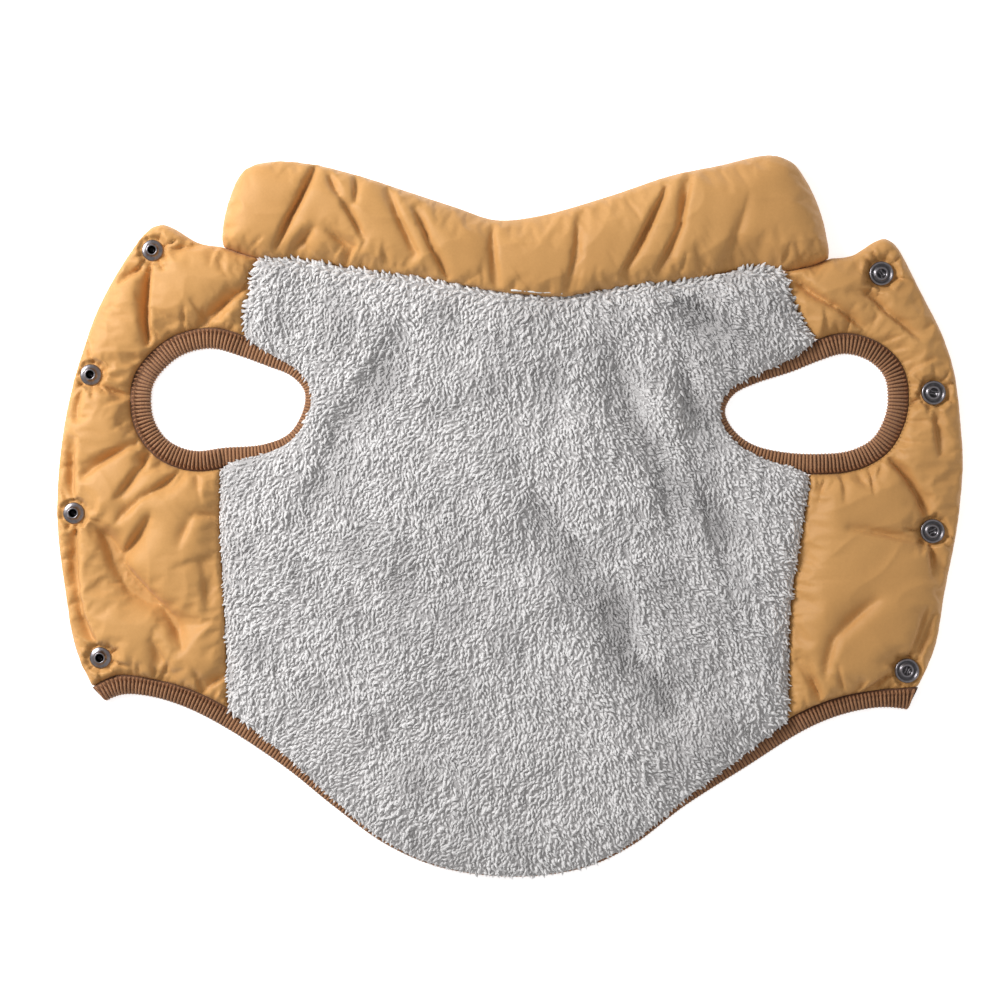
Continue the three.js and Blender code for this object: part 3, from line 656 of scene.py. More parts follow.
def crease_rim(mesh, first, rim):
    """Marks the edge where the underside meets the wall, so that subdividing keeps it on the floor."""
    marks = mesh.attributes.new("crease_edge", "FLOAT", "EDGE")
    on_rim = np.zeros(len(mesh.vertices), bool)
    on_rim[first : first + rim] = True
    ends = np.empty(len(mesh.edges) * 2, int)
    mesh.edges.foreach_get("vertices", ends)
    marks.data.foreach_set("value", on_rim[ends.reshape(-1, 2)].all(1).astype(float))


def inflated(name, points, faces, held, cap):
    """Swells a closed shape with Blender's cloth, by at most the cap. Held is each point's pin weight."""
    pad = link(name + "_pattern", mesh_of(name + "_pattern", points * CLOTH_SCALE, faces))
    pins = pad.vertex_groups.new(name="pins")
    for weight in np.unique(held[held > 0]):
        pins.add([int(i) for i in np.nonzero(held == weight)[0]], float(weight), "REPLACE")
    cloth = pad.modifiers.new("Cloth", "CLOTH")
    settings = cloth.settings
    settings.quality = 6
    settings.mass = 0.15
    settings.tension_stiffness = settings.compression_stiffness = settings.shear_stiffness = 15
    settings.bending_stiffness = 0.05
    settings.tension_damping = settings.compression_damping = settings.shear_damping = 5
    settings.air_damping = 2
    settings.effector_weights.gravity = 0
    settings.use_pressure = True
    settings.uniform_pressure_force = CLOTH_PRESSURE
    settings.shrink_min = settings.shrink_max = -CLOTH_SLACK
    settings.vertex_group_mass = "pins"
    cloth.collision_settings.use_collision = False
    cloth.collision_settings.use_self_collision = False
    cloth.point_cache.frame_start = 1
    cloth.point_cache.frame_end = CLOTH_FRAMES
    for moment in range(1, CLOTH_FRAMES + 1):
        bpy.context.scene.frame_set(moment)
    swollen = evaluated_mesh(pad)
    bpy.data.objects.remove(pad)
    bpy.context.scene.frame_set(1)
    moved = np.empty(len(points) * 3)
    swollen.vertices.foreach_get("co", moved)
    swell = moved.reshape(-1, 3) / MM / CLOTH_SCALE - points
    far = np.linalg.norm(swell, axis=1, keepdims=True)
    return points + swell * cap * np.tanh(far / cap) / np.maximum(far, 1e-9)


def padded_piece(name, snaps=()):
    """A padded nylon piece: filled in from its seam line, creased, swollen and subdivided."""
    size = PADDING[name]
    rim_line = widened(resampled(outline_loops(name)[0], step=CLOTH_STEP), SEAM_CLOSING)
    rim = len(rim_line)
    centres = [snap_centre(node) for node in snaps]
    radius = STUD_RADIUS if snaps and "stud" in snaps[0] else SOCKET_RADIUS
    circles = (2.2, 4.2, radius + 0.4, radius + 1.3, radius + 2.4, radius + 3.8)
    round_snaps = [p for c in centres for p in rings(c, circles, SNAP_POINTS)]
    flat, faces = filled(rim_line, CLOTH_STEP, round_snaps)
    from_rim = distance_to_loop(flat, rim_line)
    height = size["edge"] + (size["crown"] - size["edge"]) * rise(from_rim, size["reach"])
    dent = crease_depth(flat, CREASES[name])
    height = np.maximum(height - dent * rise(from_rim, 6), size["edge"] * 0.9)
    held = np.clip(dent / HELD_DEPTH, 0, 1) ** 2 * HELD_MOST
    held[held < HELD_LEAST] = 0
    held = np.round(held, 1)
    for centre in centres:
        away = np.linalg.norm(flat - centre, axis=1)
        pit = SNAP_SEAT + PIT_SLOPE * np.maximum(away - radius - 0.5, 0)
        height = np.minimum(height, pit)
        held[away < radius + 0.9] = 1.0
    held[from_rim < 0.05] = 1.0
    circles = (CAP_RADIUS + 0.3, CAP_RADIUS + 1.2, CAP_RADIUS + 2.4)
    round_caps = [p for c in centres for p in rings(c, circles, CAP_POINTS)]
    under, under_faces = triangulated(rim_line, np.array(round_caps).reshape(-1, 2))
    hollow = np.zeros(len(under))
    for centre in centres:
        away = np.linalg.norm(under - centre, axis=1)
        recess = CAP_RECESS * (1 - smoothstep(CAP_RADIUS + 0.4, CAP_RADIUS + 2.2, away))
        hollow = np.maximum(hollow, recess)
    top = np.column_stack([flat, height])
    bottom = np.column_stack([under, hollow])
    points, body_faces = cloth_body(top, faces, bottom, under_faces, rim)
    pinned = np.concatenate([held, np.ones(len(under))])
    points = inflated(name, points, body_faces, pinned, size["cap"])
    mesh = mesh_of(name + "_padded", points, body_faces)
    crease_rim(mesh, len(flat), rim)
    mesh = subdivided(mesh)
    wrinkled(mesh, name, rim_line, centres, radius)
    for face in mesh.polygons:
        face.use_smooth = face.center.z > UNDERSIDE * MM
    piece = dress(name + "_padded", mesh, nylon, (name,))


def pucker(start, heading, reach, width, depth):
    """A small crease from a start, as far as it reaches in its heading."""
    return {"a": start, "b": start + heading * reach, "width": width, "depth": depth}


def puckers(rim_line, gathered, seed):
    """Short gathers that run inwards from a seam, closer and deeper where the seam is gathered."""
    rng = np.random.default_rng(seed)
    made = []
    along = rng.uniform(2, 6)
    total = length_of(rim_line)
    while along < total - 2:
        at = int(along / total * len(rim_line))
        ahead = rim_line[(at + 2) % len(rim_line)] - rim_line[at - 2]
        lean = math.atan2(ahead[0], -ahead[1]) + rng.normal(0, 0.4)
        heading = np.array([math.cos(lean), math.sin(lean)])
        pull = 1.0 if gathered[at] else 0.45
        reach = rng.uniform(4, 15) * (0.4 + 0.6 * pull)
        width = rng.uniform(0.9, 1.6)
        depth = rng.uniform(0.7, 2.1) * pull
        made.append(pucker(rim_line[at] + heading * 0.3, heading, reach, width, depth))
        along += rng.uniform(3.5, 10) / pull
    return made


def gathers(centre, radius, seed):
    """The short folds that spread out from a snap."""
    rng = np.random.default_rng(seed)
    made = []
    turn = rng.uniform(0, 1)
    while turn < 2 * math.pi:
        heading = np.array([math.cos(turn), math.sin(turn)])
        start = np.array(centre) + heading * (radius + 0.2)
        reach = rng.uniform(2.5, 9)
        width = rng.uniform(0.6, 1.1)
        depth = rng.uniform(1.0, 2.3)
        made.append(pucker(start, heading, reach, width, depth))
        turn += rng.uniform(0.4, 0.85)
    return made


def wrinkled(mesh, name, rim_line, centres, radius):
    """Gathers, sharp crease lines and a soft crumple, worked into the finished cloth."""
    points = np.empty(len(mesh.vertices) * 3)
    mesh.vertices.foreach_get("co", points)
    points = points.reshape(-1, 3) / MM
    flat = points[:, :2]
    from_rim = distance_to_loop(flat, rim_line)
    seed = len(name) * 7
    sharp = [
        {**c, "width": max(SHARP_LEAST, SHARP_WIDTH * c["width"]), "depth": SHARP_DEPTH * c["depth"]}
        for c in CREASES[name]
    ]
    seams = [outline_loops(node)[0] for node in GATHERED_BY[name]]
    gathered = np.min([distance_to_loop(rim_line, loop) for loop in seams], 0) < 1.5
    around = [fold for k, c in enumerate(centres) for fold in gathers(c, radius, seed + k)]
    tucks = [{**c, "depth": PUCKER_DEPTH[name] * c["depth"]} for c in puckers(rim_line, gathered, seed)]
    dent = crease_depth(flat, tucks + sharp + around)
    ridges = 0.5 * (1 - np.abs(soft_noise(flat, 34, seed))) ** 4
    crumple = ridges + 0.16 * soft_noise(flat, 14, seed + 1) - 0.2
    calm = smoothstep(0.2, 6, from_rim)
    for centre in centres:
        away = np.linalg.norm(flat - centre, axis=1)
        calm = calm * smoothstep(radius + 0.4, radius + 5, away)
        dent = dent * smoothstep(radius + 0.1, radius + 0.9, away)
    depth_left = np.maximum(points[:, 2] - 1.2, 0)
    dent = np.minimum(dent * smoothstep(-0.4, 1.2, from_rim), depth_left)
    on_top = smoothstep(1.6, 2.4, points[:, 2])
    points[:, 2] += on_top * (crumple * calm - dent)
    mesh.vertices.foreach_set("co", (points * MM).ravel())
    mesh.update()


STUDS = [f"stud_{i}" for i in range(1, 5)]
SOCKETS = [f"socket_{i}" for i in range(1, 5)]
padded_piece("front_left", STUDS)
padded_piece("front_right", SOCKETS)
padded_piece("collar")


# Back shell and lining.


def back_shell():
    """The outer shell with its wadding, under the lining: slightly quilted by its own softness."""
    rim_line = resampled(outline_loops("back_shell")[0], step=3)
    flat, faces = filled(rim_line, 5)
    n = len(flat)
    top = np.column_stack([flat, np.full(n, SHELL_HIGH)])
    foot = 0.25 * smoothstep(0, 4, distance_to_loop(flat, rim_line)) * (1 + soft_noise(flat, 30, 4)) / 2
    points, body_faces = cloth_body(top, faces, np.column_stack([flat, foot]), faces, len(rim_line))
    mesh = mesh_of("back_shell_cloth", points, body_faces, smooth=False)
    piece = dress("back_shell_cloth", mesh, nylon, ("back_shell",))


def tufted(points):
    """From -1 between the tufts of the pile to 1 on them."""
    return np.tanh(1.6 * soft_noise(points, 5.2, 31) + 0.9 * soft_noise(points, 8.5, 32))


def lining_skin():
    """The knitted ground of the fleece. Returns its outline, points, faces, heights and folds."""
    rim_line = widened(smoothed(resampled(outline_loops("back_lining")[0], step=2.4), 1), SEAM_CLOSING)
    flat, faces = filled(rim_line, 1.9, seed=3)
    from_rim = distance_to_loop(flat, rim_line)
    swell = 0.5 + SKIN_SWELL * rise(from_rim, 15) + soft_noise(flat, 46, 5) * rise(from_rim, 10)
    folds = 1.5 * crease_depth(flat, LINING_FOLDS) * rise(from_rim, 9)
    height = SKIN_FOOT + 0.3 + np.maximum(swell - folds, 0.2)
    height += 0.35 * tufted(flat) * rise(from_rim, 4)
    under, under_faces = triangulated(rim_line, np.zeros((0, 2)))
    foot = np.column_stack([under, np.full(len(under), SKIN_FOOT)])
    top = np.column_stack([flat, height])
    mesh = mesh_of("lining_ground", *cloth_body(top, faces, foot, under_faces, len(rim_line)))
    # Painted shade: the ground cloth between the locks is held half way to its shaded colour.
    store(mesh, "painted_light", np.full(len(mesh.vertices), 0.5))
    piece = dress("lining_ground", mesh, fleece, ("back_lining",))
    return rim_line, flat, faces, height, folds


def store(mesh, name, values):
    """Gives a mesh a number for each of its points."""
    mesh.attributes.new(name, "FLOAT", "POINT").data.foreach_set("value", np.asarray(values, dtype=float))


def grown(host, group, **inputs):
    """The mesh that a node group makes on a host, with the group's inputs named in small letters."""
    modifier = host.modifiers.new(group.name, "NODES")
    modifier.node_group = group
    for item in group.interface.items_tree:
        key = item.name.lower()
        if item.in_out == "INPUT" and key in inputs:
            modifier[item.identifier] = inputs[key]
    mesh = evaluated_mesh(host)
    host.modifiers.remove(modifier)
    return mesh


def group_with(name, inputs):
    """An empty node group that takes geometry and the named numbers, and returns geometry."""
    group = bpy.data.node_groups.new(name, "GeometryNodeTree")
    group.interface.new_socket("Geometry", in_out="INPUT", socket_type="NodeSocketGeometry")
    group.interface.new_socket("Geometry", in_out="OUTPUT", socket_type="NodeSocketGeometry")
    for label, value in inputs.items():
        made = group.interface.new_socket(label, in_out="INPUT", socket_type="NodeSocketFloat")
        made.default_value = value
    tree = Tree(group)
    taken = tree.node("NodeGroupInput")
    return group, tree, dict(zip(["Geometry", *inputs], taken))


def named(tree, name):
    return tree.node("GeometryNodeInputNamedAttribute", {"data_type": "FLOAT"}, {"Name": name})[0]


def random_between(tree, low, high, seed):
    sockets = {2: low, 3: high, "Seed": seed}
    return tree.node("FunctionNodeRandomValue", {"data_type": "FLOAT"}, sockets)[1]


def vector(tree, x, y, z):
    return tree.node("ShaderNodeCombineXYZ", None, {"X": x, "Y": y, "Z": z})[0]


def rotated(tree, x, y, z):
    return tree.node("FunctionNodeEulerToRotation", None, {0: vector(tree, x, y, z)})[0]


def marked(tree, shape, name, value):
    """A shape that holds a number for each of its points."""
    return tree.node(
        "GeometryNodeStoreNamedAttribute",
        {"data_type": "FLOAT", "domain": "POINT"},
        {"Geometry": shape, "Name": name, "Value": value},
    )[0]


# The five shapes of a lock of pile, in millimetres: an arch over the cloth, and how thick it starts.
LOCKS = [
    {"middle": (0.8, 0.5, 2.3), "end": (2.6, -0.2, 1.0), "thick": 0.95},
    {"middle": (0.5, -0.6, 2.4), "end": (2.2, 0.4, 1.4), "thick": 1.05},
    {"middle": (0.9, 0.4, 2.6), "end": (2.8, 0.6, 1.6), "thick": 0.88},
    {"middle": (0.5, -0.4, 2.0), "end": (1.8, -0.8, 1.4), "thick": 1.1},
    {"middle": (0.7, 0.7, 2.2), "end": (2.0, 1.0, 0.8), "thick": 1.0},
]


def pile_group():
    """Curled locks of pile, scattered evenly over the ground cloth between two lines across the coat."""
    group, tree, given = group_with("pile", {"South": -1.0, "North": 1.0})
    scattered = tree.node(
        "GeometryNodeDistributePointsOnFaces",
        {"distribute_method": "POISSON"},
        {
            "Mesh": given["Geometry"],
            "Distance Min": PILE_SPACING * MM,
            "Density Max": PILE_DENSITY,
            "Seed": PILE_SEED,
        },
    )
    position = tree.node("GeometryNodeInputPosition")[0]
    y = tree.node("ShaderNodeSeparateXYZ", None, {"Vector": position})[1]
    below = tree.node("FunctionNodeCompare", {"operation": "LESS_THAN"}, {0: y, 1: given["South"]})[0]
    above = tree.node("FunctionNodeCompare", {"operation": "GREATER_EQUAL"}, {0: y, 1: given["North"]})[0]
    outside = tree.node("FunctionNodeBooleanMath", {"operation": "OR"}, {0: below, 1: above})[0]
    sockets = {"Geometry": scattered[0], "Selection": outside}
    kept = tree.node("GeometryNodeDeleteGeometry", {"domain": "POINT"}, sockets)
    circle = tree.node("GeometryNodeCurvePrimitiveCircle", None, {"Resolution": 4, "Radius": 1.0})[0]
    along = tree.node("GeometryNodeSplineParameter")[0]
    locks = []
    for lock in LOCKS:
        sockets = {
            "Resolution": 3,
            "Start": (0, 0, -0.8 * MM),
            "Middle": tuple(c * MM for c in lock["middle"]),
            "End": tuple(c * MM for c in lock["end"]),
        }
        line = tree.node("GeometryNodeCurveQuadraticBezier", None, sockets)[0]
        thin = (1.0 - 0.84 * along**2.2) * (lock["thick"] * MM)
        line = marked(tree, line, "tip", along)
        swept = {"Curve": line, "Profile Curve": circle, "Scale": thin, "Fill Caps": True}
        strand = tree.node("GeometryNodeCurveToMesh", None, swept)[0]
        locks.append(tree.node("GeometryNodeGeometryToInstance", None, {"Geometry": strand})[0])
    kinds = tree.node("GeometryNodeJoinGeometry", None, {"Geometry": locks[::-1]})[0]
    turn = named(tree, "flow") + random_between(tree, -0.55, 0.55, PILE_SEED + 1)
    lean = [random_between(tree, -0.28, 0.28, PILE_SEED + k) for k in (2, 3)]
    size = named(tree, "tall") * random_between(tree, 0.66, 1.16, PILE_SEED + 4)
    sockets = {4: 0, 5: len(LOCKS) - 1, "Seed": PILE_SEED + 5}
    pick = tree.node("FunctionNodeRandomValue", {"data_type": "INT"}, sockets)[2]
    planted = tree.node(
        "GeometryNodeInstanceOnPoints",
        None,
        {
            "Points": kept[0],
            "Instance": kinds,
            "Pick Instance": True,
            "Instance Index": pick,
            "Rotation": rotated(tree, lean[0], lean[1], turn),
            "Scale": vector(tree, size, size, size * 0.6),
        },
    )
    finish_group(tree, planted[0], fleece)
    return group


def finish_group(tree, instances, material):
    """Makes the instances real, smooth and of one material, and hands them out."""
    real = tree.node("GeometryNodeRealizeInstances", None, {"Geometry": instances})[0]
    smooth = tree.node("GeometryNodeSetShadeSmooth", None, {"Geometry": real})[0]
    painted = tree.node("GeometryNodeSetMaterial", None, {"Geometry": smooth, "Material": material})[0]
    tree.node("NodeGroupOutput", None, {"Geometry": painted})


def pile():
    """The fleece's pile, in strips so that no piece is too heavy."""
    rim_line, flat, faces, height, folds = lining_skin()
    ground = mesh_of("pile_ground", np.column_stack([flat, height]), faces)
    from_rim = distance_to_loop(flat, rim_line)
    swirl = 0.5 * soft_noise(flat, 60, 11) + 0.5 * soft_noise(flat, 19, 12)
    flow = -0.5 * np.pi + np.interp(flat[:, 0], NAP_PLACES, NAP_LEAN) + swirl
    nearest = np.linalg.norm(flat[:, None] - rim_line[None], axis=2).argmin(1)
    ahead = (np.roll(rim_line, -1, 0) - np.roll(rim_line, 1, 0))[nearest]
    outwards = np.arctan2(-ahead[:, 0], ahead[:, 1])
    near_neck = smoothstep(*NECK_LINE, flat[:, 1])
    edge_pull = 0.8 * (1 - smoothstep(0.5, 4.5, from_rim)) * (0.35 + 0.65 * near_neck)
    flow += edge_pull * np.angle(np.exp(1j * (outwards - flow)))
    store(ground, "flow", flow)
    at_seam = 0.28 * near_neck * np.exp(-from_rim / 7)
    trimmed = 0.3 * np.exp(-((from_rim / 2.4) ** 2)) * (1 - near_neck)
    uneven = 0.14 * tufted(flat) + 0.1 * soft_noise(flat, 12, 13)
    store(ground, "tall", 0.98 + uneven + at_seam - trimmed)
    # Painted shade on the pile: darker along the lining's fold valleys, between the tufts, in broad patches
    # and in a pool of shadow at the top right; 1 is unshaded.
    shadow_pool = np.exp(-((np.linalg.norm(flat - SHADOW_POOL, axis=1) / SHADOW_POOL_REACH) ** 2))
    shade_patches = 0.3 * soft_noise(flat, 26, 14) + 0.22 * soft_noise(flat, 90, 15)
    painted_light = 0.9 + shade_patches - 0.16 * folds - 0.6 * shadow_pool + 0.12 * tufted(flat)
    store(ground, "painted_light", np.clip(painted_light, 0, 1))
    host = link("pile_ground", ground)
    group = pile_group()
    cuts = np.quantile(flat[:, 1], np.linspace(0, 1, PILE_PIECES + 1)) * MM
    cuts[0] = -1
    cuts[-1] = 1
    for k in range(PILE_PIECES):
        mesh = grown(host, group, south=float(cuts[k]), north=float(cuts[k + 1]))
        dress(f"pile_{k + 1}", mesh, fleece)
    bpy.data.objects.remove(host)


back_shell()
pile()


# Ribbed knit bindings.


def rib_group():
    """Ribs across a band, one at each point of the host: a long closed welt with a flat underside."""
    group, tree, given = group_with("knit_ribs", {})
    ball = tree.node("GeometryNodeMeshUVSphere", None, {"Segments": 8, "Rings": 8, "Radius": 1.0})[0]
    position = tree.node("GeometryNodeInputPosition")[0]
    x, y, z = tree.node("ShaderNodeSeparateXYZ", None, {"Vector": position})
    size = z.maths("ABSOLUTE", z) ** 0.62
    across = size * z.maths("SIGN", z)
    up = y.maths("MAXIMUM", y, -0.05)
    shaped = vector(tree, x * RIB_PLUMPNESS, across, up)
    rib = marked(tree, ball, "row", across)
    # Painted shade in the grooves between ribs: the nearer a point is to a rib's side, the darker it is
    # painted.
    rib = marked(tree, rib, "flank", x.maths("ABSOLUTE", x))
    rib = tree.node("GeometryNodeSetPosition", None, {"Geometry": rib, "Position": shaped})[0]
    planted = tree.node(
        "GeometryNodeInstanceOnPoints",
        None,
        {
            "Points": given["Geometry"],
            "Instance": rib,
            "Rotation": rotated(tree, 0.0, 0.0, named(tree, "turn")),
            "Scale": vector(tree, named(tree, "pitch"), named(tree, "reach"), named(tree, "tall")),
        },
    )
    finish_group(tree, planted[0], knit)
    return group


def thread_group():
    """Short stitches of thread, one at each point of the host."""
    group, tree, given = group_with("stitches", {})
    ball = tree.node("GeometryNodeMeshUVSphere", None, {"Segments": 6, "Rings": 5, "Radius": 1.0})[0]
    planted = tree.node(
        "GeometryNodeInstanceOnPoints",
        None,
        {
            "Points": given["Geometry"],
            "Instance": ball,
            "Rotation": rotated(tree, 0.0, 0.0, named(tree, "turn")),
            "Scale": vector(tree, named(tree, "reach"), THREAD_RADIUS * MM, THREAD_RADIUS * MM),
        },
    )
    finish_group(tree, planted[0], seam_thread)
    return group


RIBS = rib_group()
STITCHES = thread_group()


def points_host(name, points, **attributes):
    """Loose points with their numbers, for a node group to grow on."""
    mesh = mesh_of(name, points, [])
    for label, values in attributes.items():
        store(mesh, label, values)
    return link(name, mesh)


def nearest_on(line, points):
    """The nearest points of a line to each of the points."""
    return line[np.linalg.norm(points[:, None] - line[None], axis=2).argmin(1)]


def corners_of(loop, count):
    """The places of the sharpest corners of a closed line."""
    reach = 6
    apart = 12
    onward = np.roll(loop, -reach, 0) - loop
    before = loop - np.roll(loop, reach, 0)
    heading, came = (np.arctan2(way[:, 1], way[:, 0]) for way in (onward, before))
    bend = np.abs(np.angle(np.exp(1j * (heading - came))))
    found = []
    for i in np.argsort(-bend):
        if all(apart < abs(i - c) < len(loop) - apart for c in found):
            found.append(int(i))
        if len(found) == count:
            return sorted(found)


def band_rails(name):
    """The open edge and the seam edge of a band, as two lines with points that face each other."""
    loops = outline_loops(name)
    closed = len(loops) == 2
    if closed:
        seam, edge = (smoothed(resampled(loop, count=1500), 12) for loop in loops)
        middle = resampled(0.5 * (seam + nearest_on(edge, seam)), count=360)
    else:
        count = 1200
        loop = resampled(loops[0], count=count)
        corners = corners_of(loop, 4)
        spans = zip(corners, corners[1:] + corners[:1])
        sides = [loop[np.arange(a, a + (b - a) % count + 1) % count] for a, b in spans]
        long_sides = sorted(sides, key=len)[-2:]
        edge, seam = sorted(long_sides, key=lambda line: line[:, 1].mean())
        edge, seam = (line if line[0, 0] < line[-1, 0] else line[::-1] for line in (edge, seam))
        edge, seam = (resampled(line, count=1800, closed=False) for line in (edge, seam))
        edge, seam = (smoothed(line, 20, closed=False) for line in (edge, seam))
        middle = resampled(0.5 * (edge + seam), count=420, closed=False)
    rails = [smoothed(nearest_on(line, middle), 3, closed) for line in (edge, seam)]
    if not closed:
        for rail, line in zip(rails, (edge, seam)):
            rail[[0, -1]] = line[[0, -1]]
    return *rails, closed


def walk(line, closed):
    """How far it is along a line to each of its points, and round to the first if it is closed."""
    points = np.vstack([line, line[:1]]) if closed else line
    return np.concatenate([[0], np.cumsum(np.linalg.norm(np.diff(points, axis=0), axis=1))])


def band(name, join=None):
    """A knit binding: a soft core, and ribs over it at their true pitch. Its ends lap where it joins."""
    edge, seam, closed = band_rails(name)
    seam = seam + SEAM_CLOSING * (seam - edge) / np.linalg.norm(seam - edge, axis=1, keepdims=True)
    middle = 0.5 * (edge + seam)
    total = walk(middle, closed)
    lining_rim = resampled(outline_loops("back_lining")[0], step=2)
    covered = inside(seam, lining_rim) | (distance_to_loop(seam, lining_rim) < 1.2)
    buried = smoothed(covered.astype(float)[:, None], 10, closed)[:, 0]
    tall = BAND_HIGH + (BAND_LOW - BAND_HIGH) * buried
    if not closed:
        along = total[: len(tall)]
        near_end = np.minimum(along, along[-1] - along)
        tall = tall + DOUBLED_RISE * (1 - smoothstep(*DOUBLED_REACH, near_end))
    if join:
        from_join = np.linalg.norm(seam - join, axis=1)
        tall = tall + LAP_RISE * (1 - smoothstep(*LAP_REACH, from_join))
    stations = len(edge)
    points = [
        (*(edge[k] + (seam[k] - edge[k]) * across), up * tall[k])
        for k in range(stations)
        for across, up in BAND_SECTION
    ]
    n = len(BAND_SECTION)
    links = stations if closed else stations - 1
    faces = [
        (k * n + j, k * n + (j + 1) % n, (k + 1) % stations * n + (j + 1) % n, (k + 1) % stations * n + j)
        for k in range(links)
        for j in range(n)
    ]
    if not closed:
        faces += [tuple(range(n)), tuple(reversed(range((stations - 1) * n, stations * n)))]
    mesh = mesh_of(name + "_core", points, faces)
    turned_out(mesh)
    store(mesh, "row", np.zeros(len(mesh.vertices)))
    # The core, seen only in the grooves under the ribs, is painted fully in shade.
    store(mesh, "flank", np.ones(len(mesh.vertices)))
    core = dress(name + "_core", mesh, knit, (name,))

    ribs = round(total[-1] / RIB_PITCH)
    at = (np.arange(ribs) + 0.5) * total[-1] / ribs

    def sampled(values):
        column = np.concatenate([values, values[:1]]) if closed else values
        return np.interp(at, total, column)

    ends = [np.stack([sampled(line[:, 0]), sampled(line[:, 1])], 1) for line in (edge, seam)]
    span = ends[1] - ends[0]
    reach = 0.5 * np.linalg.norm(span, axis=1)
    turn = np.arctan2(span[:, 1], span[:, 0]) - 0.5 * np.pi
    rng = np.random.default_rng(21)
    height = sampled(tall) * rng.uniform(0.96, 1.04, ribs)
    spots = np.column_stack([0.5 * (ends[0] + ends[1]), np.full(ribs, 0.05)])
    host = points_host(
        name + "_rows",
        spots,
        turn=turn + rng.normal(0, 0.02, ribs),
        reach=(reach + 0.1) * MM,
        tall=height * MM,
        pitch=np.full(ribs, total[-1] / ribs * MM),
    )
    rib_piece = dress(name + "_ribs", grown(host, RIBS), knit)
    bpy.data.objects.remove(host)

    # A line of overlocking holds the band to the panel.
    inward = span / np.linalg.norm(span, axis=1, keepdims=True)
    rows = ends[1] - inward * OVERLOCK_INSET
    host = points_host(
        name + "_loops",
        np.column_stack([rows, height + 0.02]),
        turn=turn + 0.5 * np.pi + STITCH_SLANT,
        reach=np.full(ribs, STITCH_REACH * MM),
    )
    loops = dress(name + "_overlock", grown(host, STITCHES), seam_thread)
    bpy.data.objects.remove(host)


def turned_out(mesh):
    """Faces of a mesh made to point outwards."""
    shape = bmesh.new()
    shape.from_mesh(mesh)
    bmesh.ops.recalc_face_normals(shape, faces=shape.faces)
    shape.to_mesh(mesh)
    shape.free()


band("armhole_band_left", join=(-140.0, 24.5))
band("armhole_band_right", join=(124.0, 27.0))
band("hem_band")


# Snap fasteners.


def turned(profile, segments):
    """Points and faces of a closed turned shape, from radii and heights that start and end on the axis."""
    points = [(0.0, 0.0, profile[0][1])]
    inner = profile[1:-1]
    for r, z in inner:
        points += [
            (r * math.cos(2 * math.pi * k / segments), r * math.sin(2 * math.pi * k / segments), z)
            for k in range(segments)
        ]
    points.append((0.0, 0.0, profile[-1][1]))
    last = len(points) - 1
    faces = []
    for k in range(segments):
        on = (k + 1) % segments
        faces.append((0, 1 + on, 1 + k))
        for row in range(len(inner) - 1):
            a, b = 1 + row * segments, 1 + (row + 1) * segments
            faces.append((a + k, a + on, b + on, b + k))
        a = 1 + (len(inner) - 1) * segments
        faces.append((a + k, a + on, last))
    return points, faces


# Radii and heights in millimetres: the cap below the cloth and its post, and the stud or the socket on top.
SNAP_SIDES = 40
CAP = [(0, 0.1), (3.0, 0.12), (5.2, 0.3), (6.0, 0.6), (6.15, 0.9), (6.0, 1.15), (1.6, 1.2), (1.5, 3.6)]
STUD = CAP + [
    (4.7, 3.62), (4.98, 3.75), (5.0, 3.95), (4.85, 4.12), (4.3, 4.3), (3.3, 4.75), (2.8, 5.2), (2.62, 5.8),
    (2.7, 6.35), (2.6, 6.7), (2.3, 6.88), (2.0, 6.8), (1.82, 6.5), (1.75, 5.6), (1.7, 4.3), (0, 4.25),
]
SOCKET = CAP + [
    (5.2, 3.62), (5.65, 3.9), (5.82, 4.5), (5.72, 5.2), (5.42, 5.66), (5.0, 5.72), (4.6, 5.45), (4.35, 5.0),
    (3.9, 4.95), (3.5, 5.1), (3.2, 5.5), (2.9, 5.72), (2.5, 5.7), (2.2, 5.45), (2.05, 5.0), (2.0, 4.1),
    (0, 4.05),
]


def wire(line, thick, sides=6):
    """Points and faces of a round wire along a line of points."""
    line = np.array(line, float)
    points = []
    faces = []
    for i, p in enumerate(line):
        ahead = line[min(i + 1, len(line) - 1)] - line[max(i - 1, 0)]
        ahead /= np.linalg.norm(ahead)
        across = np.cross(ahead, (0, 0, 1))
        across /= np.linalg.norm(across)
        up = np.cross(across, ahead)
        taper = 0.3 if i in (0, len(line) - 1) else 1.0
        for k in range(sides):
            t = 2 * math.pi * k / sides
            points.append(p + thick * taper * (math.cos(t) * across + math.sin(t) * up))
    for i in range(len(line) - 1):
        for k in range(sides):
            on = (k + 1) % sides
            faces.append((i * sides + k, i * sides + on, (i + 1) * sides + on, (i + 1) * sides + k))
    faces += [tuple(reversed(range(sides))), tuple(range(len(points) - sides, len(points)))]
    return points, faces


def spring(side):
    """One arm of the S spring that grips the stud, bowed across the socket's mouth."""
    ends = [math.radians(a) for a in np.linspace(200, 340, 15)]
    bow = [(2.2 * math.cos(a), side * (1.5 + math.sin(a)), 5.0) for a in ends]
    return wire(bow, 0.19)


def joined(parts):
    """Several shapes' points and faces as those of one."""
    points = []
    faces = []
    for some, more in parts:
        first = len(points)
        points += [tuple(p) for p in some]
        faces += [tuple(first + i for i in f) for f in more]
    return np.array(points), faces


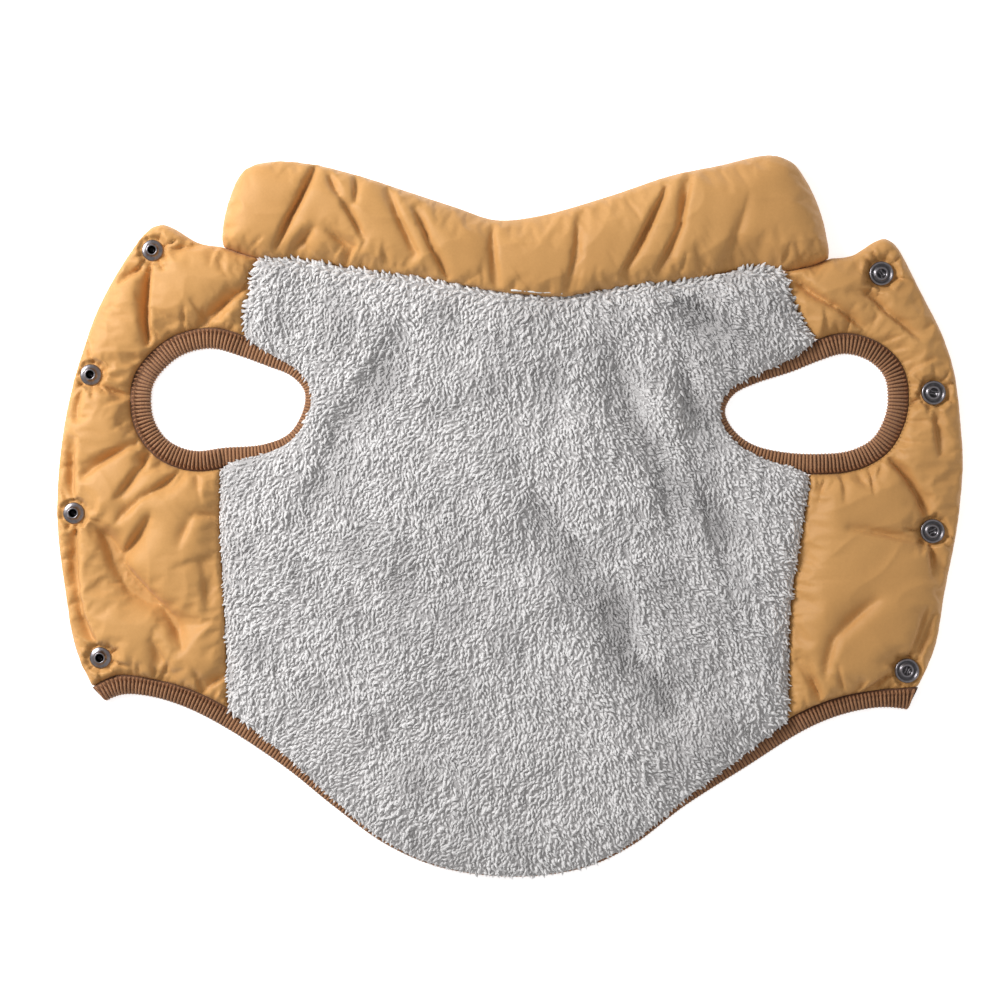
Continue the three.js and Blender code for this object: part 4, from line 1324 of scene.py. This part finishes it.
for node in STUDS + SOCKETS:
    is_stud = node in STUDS
    shapes = [turned(STUD if is_stud else SOCKET, SNAP_SIDES)]
    if not is_stud:
        shapes += [spring(1), spring(-1)]
    points, faces = joined(shapes)
    from_axis = np.linalg.norm(points[:, :2], axis=1)
    # Painted shade, darkest in the stud's bore or the socket's mouth and softer in a socket's valley ring;
    # the springs are left unshaded.
    hollow = 0.97 * (1 - smoothstep(1.78, 2.1, from_axis))
    if not is_stud:
        hollow = np.maximum(hollow, 0.75 * np.exp(-(((from_axis - 4.0) / 0.55) ** 2)))
        hollow[len(shapes[0][0]) :] = 0
    spin = 0.7 * sum(map(ord, node))
    turn = np.array([[math.cos(spin), math.sin(spin)], [-math.sin(spin), math.cos(spin)]])
    points[:, :2] = points[:, :2] @ turn + snap_centre(node)
    mesh = mesh_of(node + "_metal", points, faces)
    store(mesh, "hollow", hollow)
    turned_out(mesh)
    dress(node + "_metal", mesh, gunmetal, (node,))


# Neck label.

low, high = (np.array(corner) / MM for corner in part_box("neck_label"))
across = np.linspace(0, 1, 25)
from_end = 0.35
along_x = low[0] + (high[0] - low[0]) * across
along_y = high[1] - from_end + (low[1] - high[1] + 2 * from_end) * across
centre_line = np.stack([along_x, along_y + 0.12 * np.sin(across * 9)], 1)
# Offsets across the tape and heights, up its outer side and down its inner one.
outer_ply = [(-0.5, 3.5), (-0.52, 6.0), (-0.46, 8.3), (-0.2, 8.85)]
outer_ply += [(0.2, 8.85), (0.46, 8.3), (0.52, 6.0), (0.5, 3.5)]
inner_ply = [(0.18, 3.5), (0.18, 6.0), (0.15, 8.1), (0.0, 8.45), (-0.15, 8.1), (-0.18, 6.0), (-0.18, 3.5)]
fold = outer_ply + inner_ply
points = [
    (x, y + dy, z + 0.25 * math.sin(6 * s)) for s, (x, y) in zip(across, centre_line) for dy, z in fold
]
count = len(fold)
faces = [
    (k * count + j, k * count + (j + 1) % count, (k + 1) * count + (j + 1) % count, (k + 1) * count + j)
    for k in range(len(across) - 1)
    for j in range(count)
]
faces += [tuple(range(count)), tuple(reversed(range(len(points) - count, len(points))))]
mesh = mesh_of("neck_label_tape", points, faces)
turned_out(mesh)
label = dress("neck_label_tape", mesh, label_tape, ("neck_label",))


# Floor, light and camera.

# The camera stands straight over the coat, so high that the picture is FIELD metres wide.
CAMERA_AT = (-0.0047, 0.0080)
LENS = 85.0
SENSOR = 36.0
FIELD = 0.470
FLOOR_REACH = 30000
FLOOR_HEIGHT = -0.3


def pale_varying(tree):
    cloud = noise(tree, placed(tree), 3.0)
    return {"Base Color": mix(tree, cloud, (0.93, 0.93, 0.93, 1), (0.95, 0.95, 0.95, 1))}


floor_finish = surface(
    "pale_floor",
    {"Roughness": 0.9, "Emission Color": (1, 1, 1, 1), "Emission Strength": 0.6, "Specular IOR Level": 0.1},
    pale_varying,
)
sides = ((-1, -1), (1, -1), (1, 1), (-1, 1))
corners = [(x * FLOOR_REACH, y * FLOOR_REACH, FLOOR_HEIGHT) for x, y in sides]
floor = link("floor", mesh_of("floor", corners, [(0, 1, 2, 3)]))
floor.data.materials.append(floor_finish)


def softbox(name, place, size, power):
    """A round lamp that faces the coat."""
    lamp = bpy.data.lights.new(name, "AREA")
    lamp.shape = "DISK"
    lamp.size = size
    lamp.energy = power
    holder = link(name, lamp)
    holder.location = place
    holder.rotation_euler = (-Vector(place)).to_track_quat("-Z", "Y").to_euler()


softbox("key_light", (-0.72, 0.4, 0.55), 0.4, 9.6)
softbox("fill_light", (0.9, -0.7, 1.4), 1.6, 1.2)

world = bpy.data.worlds.new("studio")
world.use_nodes = True
world.node_tree.nodes["Background"].inputs["Color"].default_value = (1, 1, 1, 1)
world.node_tree.nodes["Background"].inputs["Strength"].default_value = 0.46
bpy.context.scene.world = world
bpy.context.scene.view_settings.view_transform = "Standard"

lens = bpy.data.cameras.new("camera")
lens.lens = LENS
lens.sensor_width = SENSOR
camera = link("camera", lens)
camera.location = (*CAMERA_AT, FIELD * LENS / SENSOR + 0.004)
bpy.context.scene.camera = camera
